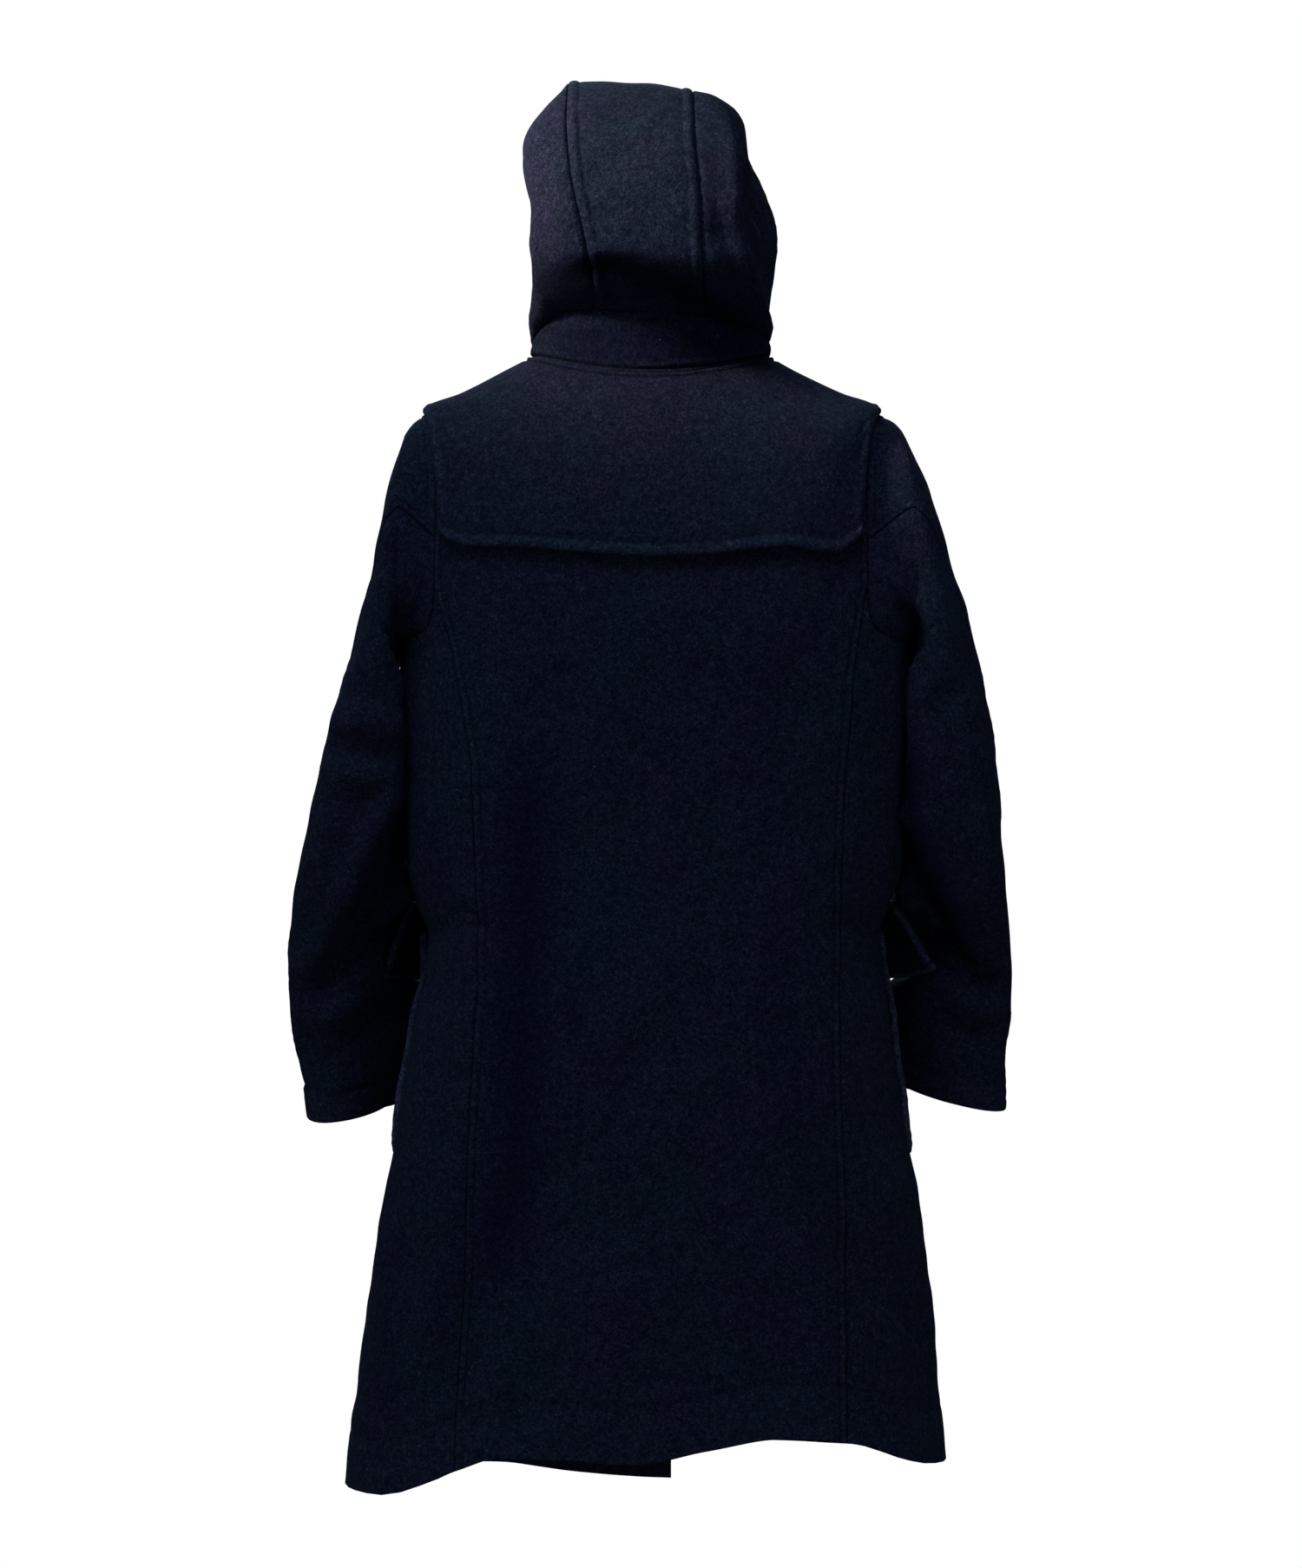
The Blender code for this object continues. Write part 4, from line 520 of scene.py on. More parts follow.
def strip_point(u, r):
    """Centre strip: u -1 right seam .. +1 left seam."""
    u, r = np.broadcast_arrays(np.asarray(u, float), np.asarray(r, float))
    t = ((u + 1) / 2)[..., None]
    p = strip_edge(-1, r) * (1 - t) + strip_edge(1, r) * t
    lo, hi = np.clip(r - 0.01, 0, 1), np.clip(r + 0.01, 0, 1)
    dy, dz = PROFILE[0](hi) - PROFILE[0](lo), PROFILE[1](hi) - PROFILE[1](lo)
    size = np.maximum(np.hypot(dy, dz), 1e-9)
    swell = (1 - u * u) * 0.0035 * smooth((1 - r) / 0.1)
    p[..., 1] -= dz / size * swell
    p[..., 2] += dy / size * swell
    w = smooth((r - 0.93) / 0.07)[..., None]
    return p * (1 - w) + stand_point(u * STRIP_ANGLE, 1.0) * w


def side_point(side, t, s):
    """Side panel: t 0 front edge .. 1 back seam, s 0 stand .. 1 top seam."""
    t, s = np.broadcast_arrays(np.asarray(t, float), np.asarray(s, float))
    wide = HOOD_SIDE_LEFT if side > 0 else HOOD_SIDE_RIGHT

    def front(v):
        f = np.stack([c(v) for c in HOOD_FRONTS[side]], axis=-1)
        f[..., 0] *= side
        w = smooth(1 - v / 0.15)[..., None]
        f = f * (1 - w) + stand_point(side * STAND_END, 1.0) * w
        w = smooth((v - 0.93) / 0.07)[..., None]
        return f * (1 - w) + strip_edge(side, 0.0) * w

    bottom = lambda v: stand_point(side * (STAND_END + (STRIP_ANGLE - STAND_END) * v), 1.0)
    top = lambda v: strip_edge(side, HOOD_CROWN * v)
    back = lambda v: strip_edge(side, 1 - (1 - HOOD_CROWN) * v)
    tt, ss = t[..., None], s[..., None]
    corner = [front(np.zeros(1))[0], front(np.ones(1))[0], back(np.zeros(1))[0], back(np.ones(1))[0]]
    p = (front(s) * (1 - tt) + back(s) * tt + bottom(t) * (1 - ss) + top(t) * ss
         - corner[0] * (1 - tt) * (1 - ss) - corner[2] * tt * (1 - ss) - corner[1] * (1 - tt) * ss - corner[3] * tt * ss)
    # the middle stands out to its own half width, and rounds over near the two seams
    g = np.sqrt(np.clip(1 - (1 - np.clip((1 - s) / 0.30, 0, 1)) ** 2, 0, 1))
    h = np.sqrt(np.clip(1 - (1 - np.clip((1 - t) / 0.34, 0, 1)) ** 2, 0, 1))
    k = smooth(s / 0.2) * smooth(t / 0.35)
    p[..., 0] += (side * look(wide, p[..., 2]) - p[..., 0]) * g * h * k
    return p


def facing_out(n, p):
    return n * np.where((n * (p - HOOD_MIDDLE)).sum(axis=-1, keepdims=True) < 0, -1.0, 1.0)


def normals_of(surface, a, b, step=0.012):
    """Normals of a surface over the unit square (or u from -1)."""
    low = -1.0 if np.min(a) < -0.001 else 0.0
    da = surface(np.clip(a + step, low, 1), b) - surface(np.clip(a - step, low, 1), b)
    db = surface(a, np.clip(b + step, 0, 1)) - surface(a, np.clip(b - step, 0, 1))
    return facing_out(unit(np.cross(da, db)), surface(a, b))




# ================================================================ detailed cloth
K_PHOTO = 4081.6         # focal length in pixels of the 1500 x 1806 frame
EYE = np.array([0.0, 3.0, -0.3587])
EDGE_STEPS = np.array([0, 0.3, 0.7, 1.2, 1.8, 2.6, 3.6, 4.8, 5.8, 6.4, 6.9, 7.4, 8.2, 9.4, 11.0, 13.5, 17.0]) / 1000.0
FREE_STEPS = np.array([0, 0.2, 0.5, 0.9, 1.4, 2.1, 3.0, 4.2, 5.6, 7.2, 9.0, 11.5, 15.0]) / 1000.0


def to_photo(p):
    """Picture position of points, in the 1500 x 1806 frame."""
    depth = EYE[1] - p[..., 1]
    return np.stack([750.0 - K_PHOTO * p[..., 0] / depth, 903.0 - K_PHOTO * (p[..., 2] - EYE[2]) / depth], axis=-1)


def waves(p, size, seed, count=14):
    """Smooth uneven noise of about unit height, from sines in seeded directions."""
    rng = np.random.default_rng(seed)
    out = np.zeros(p.shape[:-1])
    for _ in range(count):
        d = unit(rng.normal(size=3))
        f = 2 * math.pi / (size * rng.uniform(0.6, 1.7))
        out = out + np.sin(p @ d * f + rng.uniform(0, 6.28))
    return out / math.sqrt(count / 2.0) / 1.4


def path_distance(q, path):
    """Signed distance to a polyline and the share of the way along it."""
    path = np.asarray(path, float)
    seg = np.linalg.norm(np.diff(path, axis=0), axis=1)
    total = seg.sum()
    best = np.full(q.shape[:-1], 1e9)
    sign = np.ones(q.shape[:-1])
    share = np.zeros(q.shape[:-1])
    run = 0.0
    for a, b, length in zip(path, path[1:], seg):
        d = (b - a) / length
        rel = q - a
        t = np.clip(rel @ d, 0, length)
        off = rel - t[..., None] * d
        dist = np.linalg.norm(off, axis=-1)
        side = np.sign(rel[..., 0] * d[1] - rel[..., 1] * d[0])
        closer = dist < best
        best = np.where(closer, dist, best)
        sign = np.where(closer, side, sign)
        share = np.where(closer, (run + t) / total, share)
        run += length
    return best, sign, share


def crease(q, path, width, depth, kind="trough", skew=0.0):
    """Soft trough (depth below 0), ridge (above 0) or step along a path, fading at both ends."""
    dist, sign, share = path_distance(q, path)
    fade = smooth(share / 0.22) * smooth((1 - share) / 0.22)
    past = np.exp(-np.maximum(dist - width * 2.2, 0) / width)
    if kind == "step":
        return depth * fade * sign * dist / width * np.exp(0.5 - 0.5 * (dist / width) ** 2) * past
    w = width * (1 + skew * sign)
    main = np.exp(-(dist / w) ** 2)
    bank = 0.35 * np.exp(-((dist - 1.9 * w) / w) ** 2)
    return depth * fade * (main - bank)


def drop(x, r):
    x = np.clip(x, 0, r)
    return r - np.sqrt(np.maximum(r * r - (r - x) ** 2, 0))


def stitch(x, along_edge, at=0.0068, depth=0.0006, pitch=0.0048, seed=0.0):
    """Line of stitches beside an edge: a groove with dimples and small puckers."""
    line = np.exp(-((x - at) / 0.0012) ** 2)
    beat = 0.5 + 0.5 * np.cos(along_edge * 2 * math.pi / pitch + seed)
    pucker = np.sin(along_edge * 2 * math.pi / 0.013 + 1.7 * np.sin(along_edge * 2 * math.pi / 0.047 + seed))
    swell = np.exp(-((x - at * 0.5) / (at * 0.42)) ** 2)
    return -1.6 * depth * line * (0.65 + 0.35 * beat) + swell * (0.00060 + 0.00028 * pucker)


def offsets(length, left, right, step):
    """Distances along a row: fixed steps at both ends, even ones between."""
    left, right = np.asarray(left), np.asarray(right)
    scale = min(1.0, 0.42 * length / max(left[-1] + right[-1], 1e-6) * 2)
    left, right = left * scale, right * scale
    count = max(int(round(step)), 2)
    mid = np.linspace(left[-1], length - right[-1], count + 1)[1:-1]
    return np.concatenate([left, mid, length - right[::-1]])


def put_mesh(name, verts, faces, smooth_shade=True):
    mesh = bpy.data.meshes.new(name)
    verts = np.asarray(verts, np.float32)
    faces = np.asarray(faces, np.int32)
    n = faces.shape[1]
    mesh.vertices.add(len(verts))
    mesh.vertices.foreach_set("co", verts.reshape(-1))
    mesh.loops.add(faces.size)
    mesh.loops.foreach_set("vertex_index", faces.reshape(-1))
    mesh.polygons.add(len(faces))
    mesh.polygons.foreach_set("loop_start", np.arange(0, faces.size, n, dtype=np.int32))
    mesh.polygons.foreach_set("loop_total", np.full(len(faces), n, np.int32))
    mesh.update(calc_edges=True)
    mesh.validate()
    obj = bpy.data.objects.new(name, mesh)
    bpy.context.scene.collection.objects.link(obj)
    if smooth_shade:
        mesh.shade_smooth()
    return obj


def quads(rows, cols):
    i = np.arange(rows * cols).reshape(rows, cols)
    return np.stack([i[:-1, :-1], i[:-1, 1:], i[1:, 1:], i[1:, :-1]], axis=-1).reshape(-1, 4)


def rim_edges(faces):
    """Directed edges that only one face uses."""
    e = np.concatenate([faces[:, [0, 1]], faces[:, [1, 2]], faces[:, [2, 3]], faces[:, [3, 0]]]).astype(np.int64)
    size = int(faces.max()) + 1
    return e[~np.isin(e[:, 0] * size + e[:, 1], e[:, 1] * size + e[:, 0])]


def close_up(name, outer, inner, faces):
    """Closed piece from its outer and inner points; outer faces may run either way round."""
    n = len(outer)
    rim = rim_edges(faces)
    sides = np.stack([rim[:, 1], rim[:, 0], rim[:, 0] + n, rim[:, 1] + n], axis=-1)
    every = np.concatenate([faces, faces[:, ::-1] + n, sides])
    pts = np.concatenate([outer, inner])
    a, b, c, d = (pts[every[:, i]] for i in range(4))
    volume = (np.einsum("ij,ij->i", a, np.cross(b, c)) + np.einsum("ij,ij->i", a, np.cross(c, d))).sum()
    if volume < 0:
        every = every[:, ::-1]
    return put_mesh(name, pts, every)


class Piece:
    """A grid of cloth: base points and normals, and the distances to its four edges."""

    def __init__(self, p, n):
        self.p, self.n = p, n
        across = np.concatenate([np.zeros((p.shape[0], 1)), np.cumsum(np.linalg.norm(np.diff(p, axis=1), axis=-1), axis=1)], axis=1)
        down = np.concatenate([np.zeros((1, p.shape[1])), np.cumsum(np.linalg.norm(np.diff(p, axis=0), axis=-1), axis=0)], axis=0)
        self.l, self.r = across, across[:, -1:] - across
        self.t, self.b = down, down[-1:, :] - down
        self.width, self.length = float(across[:, -1].max()), float(down[-1].max())
        cell = np.linalg.norm(np.cross(p[1:, 1:] - p[:-1, :-1], p[1:, :-1] - p[:-1, 1:]), axis=-1) / 2
        self.area = float(cell.sum())
        self.both = np.zeros(p.shape[:2])
        self.out = np.zeros(p.shape[:2])
        self.photo = to_photo(p)

    RIMS = {"l": (slice(None), 0), "r": (slice(None), -1), "t": (0, slice(None)), "b": (-1, slice(None))}

    def build(self, name, l="seam", r="seam", t="seam", b="free", wall=WALL, round_seam=0.0021, round_free=None):
        self.name, self.wall = name, wall
        self.kinds = {"l": l, "r": r, "t": t, "b": b}
        self.round_seam, self.round_free = round_seam, round_free or wall / 2
        self.turn, self.shift = {}, {}
        self.lip, self.press, self.edge_highlight = getattr(self, "lip", 0.0), getattr(self, "press", 1.0), getattr(self, "edge_highlight", 0.0)
        return self

    def make(self):
        fall = np.zeros_like(self.both)
        rise = np.zeros_like(self.both)
        aim = np.zeros_like(self.n)
        more = np.zeros_like(self.both)
        total = np.zeros_like(self.both)
        seam_fall = np.zeros_like(self.both)
        for key, d in (("l", self.l), ("r", self.r), ("t", self.t), ("b", self.b)):
            free = self.kinds[key] == "free"
            fall = np.maximum(fall, drop(d, self.round_free if free else self.round_seam) * (0.96 if free else 0.9))
            rise = np.maximum(rise, drop(d, self.wall / 2 if free else 0.0005) * 0.8)
            if not free:
                seam_fall = np.maximum(seam_fall, drop(d, self.round_seam) * 0.9)
            if key in self.turn:
                spread = (lambda v: v[:, None]) if key in "lr" else (lambda v: v[None, :])
                near = np.minimum(self.t, self.b) if key in "lr" else np.minimum(self.l, self.r)
                w = (1 - smooth(d / 0.007)) * (near + 1e-6) / (near + d + 2e-6)
                aim = aim + spread(self.turn[key]) * w[..., None]
                total = total + w
                more = more + spread(self.shift[key]) * (1 - smooth(d / 0.018))
        n = self.n + aim / np.maximum(total, 1.0)[..., None]
        both = self.both + more
        outer = self.p + n * (both + self.out - fall)[..., None]
        inner = self.p + n * (both - self.wall + rise)[..., None]
        if self.lip:
            # the seam allowance, turned up inside
            inner[-1] += np.array([0, 0, self.lip]) - n[-1] * self.lip / 2
        # painted shade in the seams and stitch lines, painted highlight on raised edges
        tone = self.press * painted_shade_and_highlight(self.out, seam_fall)
        if self.edge_highlight:
            # painted highlight on the edges, where they catch the light
            edge = np.minimum(np.minimum(self.l, self.r), self.b)
            tone = tone - self.edge_highlight * np.exp(-(edge / 0.009) ** 2) * (0.35 + 0.65 * (tone < 0.3))
        self.tone = tone.reshape(-1)
        return close_up(self.name, outer.reshape(-1, 3), inner.reshape(-1, 3), quads(*self.p.shape[:2]))


def painted_shade_and_highlight(out, fall):
    """1 for painted shade where a seam or a line of stitches sinks in, below 0 for a painted highlight where an edge
    stands up.
    """
    pressed = np.clip(-out / 0.0011, 0, 1) + np.clip(fall / 0.0019, 0, 1) ** 1.5
    return np.clip(pressed, 0, 1) - 0.8 * np.clip(out / 0.0012, 0, 1) * (1 - np.clip(fall / 0.0008, 0, 1))


QUEUE = []


def match_seams():
    """Give both sides of every seam one common direction and one common height."""
    rims = []
    for i, (piece, _, _, _) in enumerate(QUEUE):
        for key, kind in piece.kinds.items():
            if kind == "seam":
                at = Piece.RIMS[key]
                rims.append((i, key, piece.p[at], piece.n[at], piece.both[at]))
    points = np.concatenate([r[2] for r in rims])
    normals = np.concatenate([r[3] for r in rims])
    heights = np.concatenate([r[4] for r in rims])
    owner = np.concatenate([np.full(len(r[2]), r[0]) for r in rims])
    tree = KDTree(len(points))
    for i, q in enumerate(points):
        tree.insert(q, i)
    tree.balance()
    for i, key, p, n, both in rims:
        turn, shift = np.zeros_like(n), np.zeros_like(both)
        for j, q in enumerate(p):
            others = [(dist, k) for _, k, dist in tree.find_range(q, 0.0040) if owner[k] != i]
            if others:
                k = min(others)[1]
                turn[j] = mitre(n[j], normals[k]) - n[j]
                shift[j] = (heights[k] - both[j]) / 2
        piece = QUEUE[i][0]
        piece.turn[key], piece.shift[key] = turn, shift


def build_queue():
    match_seams()
    for piece, nodes, mat, more in QUEUE:
        obj = piece.make()
        finish_object(obj, nodes, mat)
        painted_light_attributes(obj, piece.tone)


def inverse(values, wanted, params):
    return np.interp(wanted, values, params)


# ---------------------------------------------------------------- rows down the body
def ring_rows(theta, lo, hi, step, top=None, bottom=None):
    """Ring numbers at even lengths down one line of the body, with narrow rows at the ends."""
    ss = np.linspace(lo, hi, 1500)
    pts = body(np.full_like(ss, theta), ss)
    run = np.concatenate([[0], np.cumsum(np.linalg.norm(np.diff(pts, axis=0), axis=1))])
    top = np.array([0.0]) if top is None else top
    bottom = np.array([0.0]) if bottom is None else bottom
    at = offsets(run[-1], top, bottom, (run[-1] - top[-1] - bottom[-1]) / step)
    return np.interp(at, run, ss)


def body_rows(theta):
    down = ring_rows(theta, 0, 3, 0.0045, top=EDGE_STEPS[[0, 2, 4, 6, 8, 10, 12, 14]])
    hole_part = 5.0 - 2.0 * np.cos(np.radians(np.linspace(0, 180, 47)))
    low = ring_rows(theta, 7, 23, 0.0046, bottom=FREE_STEPS)
    return np.concatenate([down[:-1], hole_part, low[1:]])


def body_piece(rows, right, left, steps_r, steps_l, middle, lifted=False):
    p, n = [], []
    for s in rows:
        a = float(nudge(right(s), s, GAP / 2))
        b = float(nudge(left(s), s, -GAP / 2))
        th = np.linspace(a, b, 241)
        run = np.concatenate([[0], np.cumsum(np.linalg.norm(np.diff(body(th, s), axis=0), axis=1))])
        at = offsets(run[-1], steps_r, steps_l, middle)
        th = np.interp(at, run, th)
        q, m = body(th, s), body_normal(th, s)
        if lifted:
            q = q + m * over_lift(q[:, 0])[:, None]
        p.append(q)
        n.append(m)
    return Piece(np.array(p), np.array(n))


# ---------------------------------------------------------------- creases along listed paths
# In picture positions for what faces the back: path, width, height in mm, kind, skew.
BACK_CREASES = [
    ([(622, 700), (608, 860), (606, 1045), (588, 1163), (597, 1248), (614, 1341), (580, 1430), (537, 1500)], 34, -4.2, "trough", 0.25),
    ([(575, 1440), (537, 1500), (510, 1580), (495, 1650)], 22, -2.6, "trough", 0.0),
    ([(588, 1495), (566, 1550), (546, 1610)], 16, -2.0, "trough", 0.0),
    ([(560, 1400), (575, 1520), (575, 1660)], 20, 1.8, "ridge", 0.0),
    ([(800, 1035), (740, 1110), (690, 1180), (660, 1260)], 26, 1.6, "step", 0.0),
    ([(838, 1080), (795, 1150), (740, 1230), (705, 1320)], 30, -1.7, "trough", 0.2),
    ([(700, 1030), (672, 1100), (655, 1190)], 22, 1.4, "ridge", 0.0),
    ([(900, 900), (880, 1000), (890, 1120), (925, 1250)], 40, -1.5, "trough", 0.0),
    ([(707, 1440), (700, 1540), (715, 1670)], 62, 3.2, "ridge", 0.0),
    ([(665, 1400), (650, 1500), (640, 1600)], 24, 1.2, "step", 0.0),
    ([(826, 1484), (866, 1505), (915, 1545)], 14, -1.3, "trough", 0.3),
    ([(800, 1540), (840, 1575), (880, 1640)], 18, -1.2, "trough", 0.0),
    ([(894, 1560), (893, 1612), (900, 1655)], 13, -1.5, "trough", 0.0),
    ([(978, 1560), (979, 1625), (984, 1672)], 10, -1.6, "trough", 0.0),
    ([(950, 1405), (990, 1462), (1030, 1520), (1070, 1572)], 13, -2.0, "trough", 0.35),
    ([(985, 1400), (1020, 1450), (1062, 1508)], 22, 1.0, "ridge", 0.0),
    ([(520, 850), (600, 822), (700, 812)], 30, -0.9, "trough", 0.0),
    ([(760, 770), (860, 782), (940, 815)], 34, 0.9, "step", 0.0),
    ([(560, 930), (640, 915), (720, 925)], 22, 0.7, "ridge", 0.0),
    ([(640, 665), (660, 760), (650, 850)], 40, -1.0, "trough", 0.0),
    ([(940, 690), (925, 780), (945, 880)], 26, -0.9, "trough", 0.0),
    ([(500, 1052), (530, 1066), (570, 1062)], 15, -1.3, "trough", 0.2),
    ([(1004, 1046), (975, 1062), (935, 1060)], 14, -1.2, "trough", 0.2),
    ([(505, 1020), (550, 1035), (600, 1030)], 16, 0.8, "ridge", 0.0),
]
SIDE_BACK_CREASES = [
    ([(478, 800), (492, 900), (505, 990), (500, 1060)], 15, -1.3, "trough", 0.0),
    ([(470, 880), (500, 905), (530, 900)], 12, -1.0, "trough", 0.0),
    ([(500, 1030), (515, 1090), (510, 1180), (498, 1290)], 13, -1.2, "trough", 0.0),
    ([(455, 1400), (470, 1500), (455, 1620), (440, 1700)], 20, -1.5, "trough", 0.0),
    ([(1012, 800), (1015, 900), (1005, 1000)], 13, -1.1, "trough", 0.0),
    ([(1035, 1390), (1040, 1500), (1050, 1620)], 16, -1.2, "trough", 0.0),
    ([(975, 1330), (1010, 1400), (1045, 1450)], 14, -1.0, "trough", 0.0),
    ([(490, 1240), (470, 1330), (462, 1400)], 14, 1.0, "ridge", 0.0),
]
# The front, in metres (x, z).
FRONT_CREASES = [
    ([(0.150, -0.300), (0.120, -0.420), (0.125, -0.520)], 0.022, -1.6, "trough", 0.0),
    ([(0.060, -0.610), (0.090, -0.720), (0.080, -0.900)], 0.026, -3.2, "trough", 0.2),
    ([(0.140, -0.700), (0.165, -0.800), (0.180, -0.930)], 0.024, -3.0, "trough", 0.0),
    ([(0.030, -0.700), (0.045, -0.820), (0.040, -0.950)], 0.024, 2.2, "ridge", 0.0),
    ([(-0.140, -0.290), (-0.118, -0.400), (-0.128, -0.500)], 0.022, -1.7, "trough", 0.0),
    ([(-0.060, -0.620), (-0.085, -0.740), (-0.078, -0.900)], 0.026, -3.0, "trough", 0.2),
    ([(-0.150, -0.690), (-0.168, -0.790), (-0.185, -0.920)], 0.023, -2.6, "trough", 0.0),
    ([(-0.115, -0.720), (-0.125, -0.830), (-0.130, -0.930)], 0.020, 1.6, "ridge", 0.0),
    ([(0.100, -0.240), (0.060, -0.300), (0.050, -0.400)], 0.018, -1.2, "trough", 0.0),
    ([(-0.100, -0.245), (-0.085, -0.330), (-0.095, -0.430)], 0.018, -1.1, "trough", 0.0),
    ([(0.185, -0.430), (0.150, -0.460), (0.110, -0.455)], 0.012, -1.3, "trough", 0.2),
    ([(-0.185, -0.430), (-0.150, -0.458), (-0.112, -0.452)], 0.012, -1.3, "trough", 0.2),
]


def add_creases(piece, table_rows, facing, plane="photo", scale=1.0):
    q = piece.photo if plane == "photo" else piece.p[..., [0, 2]]
    mask = smooth((piece.n[..., 1] * facing + 0.05) / 0.35)
    for path, width, height, kind, skew in table_rows:
        piece.both += crease(q, path, width, height / 1000.0 * scale, kind, skew) * mask


def body_details(piece, seed, stitch_l=None, stitch_r=None, hem=True):
    piece.both += 0.0010 * waves(piece.p, 0.11, 11) + 0.00045 * waves(piece.p, 0.035, 12)
    down = piece.t
    if stitch_l:
        piece.out += stitch(piece.l, down, at=stitch_l, seed=seed)
    if stitch_r:
        piece.out += stitch(piece.r, down, at=stitch_r, seed=seed + 2)
    if hem:
        piece.out += -0.00035 * np.exp(-((piece.b - 0.046) / 0.003) ** 2) + 0.0004 * smooth((0.044 - piece.b) / 0.004)


def finish_cloth(piece, nodes, mat, _same, **more):
    QUEUE.append((piece, nodes, mat, more))


def finish_object(obj, nodes, mat):
    obj.data.materials.append(mat)
    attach(obj, "root")
    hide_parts(*nodes)
    return obj


# Painted shade: strokes of darker cloth where shadows fall, in the folds of the skirt, beside the armholes, on the
# hood's stand, under its pouch and along its right fold.
PAINTED_SHADE_STROKES = [
    ([(598, 800), (606, 930), (606, 1045), (596, 1163), (600, 1248), (600, 1341), (566, 1450), (532, 1540)], 34, 0.95),
    ([(640, 1060), (660, 1150), (690, 1260)], 26, 0.30),
    ([(540, 1330), (520, 1450), (505, 1600)], 22, 0.35),
    ([(905, 1010), (900, 1150), (925, 1300), (960, 1430)], 30, 0.30),
    ([(480, 880), (500, 980), (508, 1060)], 16, 0.45),
    ([(870, 700), (880, 850), (870, 960)], 40, 0.15),
    ([(450, 1390), (450, 1500), (436, 1660)], 16, 0.35),
    ([(1020, 1380), (1046, 1500), (1064, 1640)], 16, 0.25),
    ([(605, 392), (660, 384), (756, 392), (850, 398), (905, 404)], 19, 0.95),
    ([(605, 404), (660, 404), (756, 410), (850, 404), (905, 408)], 14, 0.8),
    ([(612, 352), (655, 318), (706, 306), (760, 324), (820, 356), (900, 396)], 20, 1.9),
    ([(860, 150), (864, 200), (864, 250), (874, 292), (888, 335), (902, 390)], 7, 1.0),
    ([(484, 640), (478, 700), (466, 760)], 13, 0.5),
    ([(1046, 690), (1054, 740), (1054, 790)], 11, 0.5),
]


# Painted shade in the hollows of the elbows, between each sleeve and the body.
SLEEVE_PAINTED_SHADE_STROKES = [
    ([(474, 840), (470, 920), (464, 985), (458, 1050), (462, 1110)], 15, 1.8),
    ([(466, 925), (452, 985), (432, 1040), (404, 1090)], 21, 1.35),
    ([(1044, 840), (1044, 930), (1046, 1000), (1052, 1060), (1050, 1110)], 15, 1.8),
    ([(1046, 925), (1062, 990), (1084, 1040), (1104, 1080)], 20, 1.25),
]


# Painted shade from the strokes, and the painted shade and highlight of seams and edges, stored as two point
# attributes.
def painted_light_attributes(obj, tone):
    mesh = obj.data
    co = np.empty(len(mesh.vertices) * 3, np.float32)
    mesh.vertices.foreach_get("co", co)
    co = co.reshape(-1, 3).astype(float)
    q = to_photo(co)
    value = np.zeros(len(co))
    for path, width, amount in PAINTED_SHADE_STROKES + (SLEEVE_PAINTED_SHADE_STROKES if obj.name.startswith("sleeve") else []):
        dist, _, share = path_distance(q, path)
        value = np.maximum(value, amount * np.exp(-(dist / width) ** 2) * smooth(share / 0.2) * smooth((1 - share) / 0.2))
    value *= smooth(co[:, 1] / 0.03)
    attribute = mesh.attributes.new("painted_shade", "FLOAT", "POINT")
    attribute.data.foreach_set("value", value.astype(np.float32))
    tones = np.zeros(len(co), np.float32)
    tones[:len(tone)] = tone
    if obj.name.startswith("pocket"):
        tones[len(tone):2 * len(tone)] = tone
    mesh.attributes.new("tone", "FLOAT", "POINT").data.foreach_set("value", tones)


# ---------------------------------------------------------------- materials
def node(tree, kind, **values):
    n = tree.nodes.new(kind)
    for key, value in values.items():
        if key in n.inputs:
            n.inputs[key].default_value = value
        else:
            setattr(n, key, value)
    return n


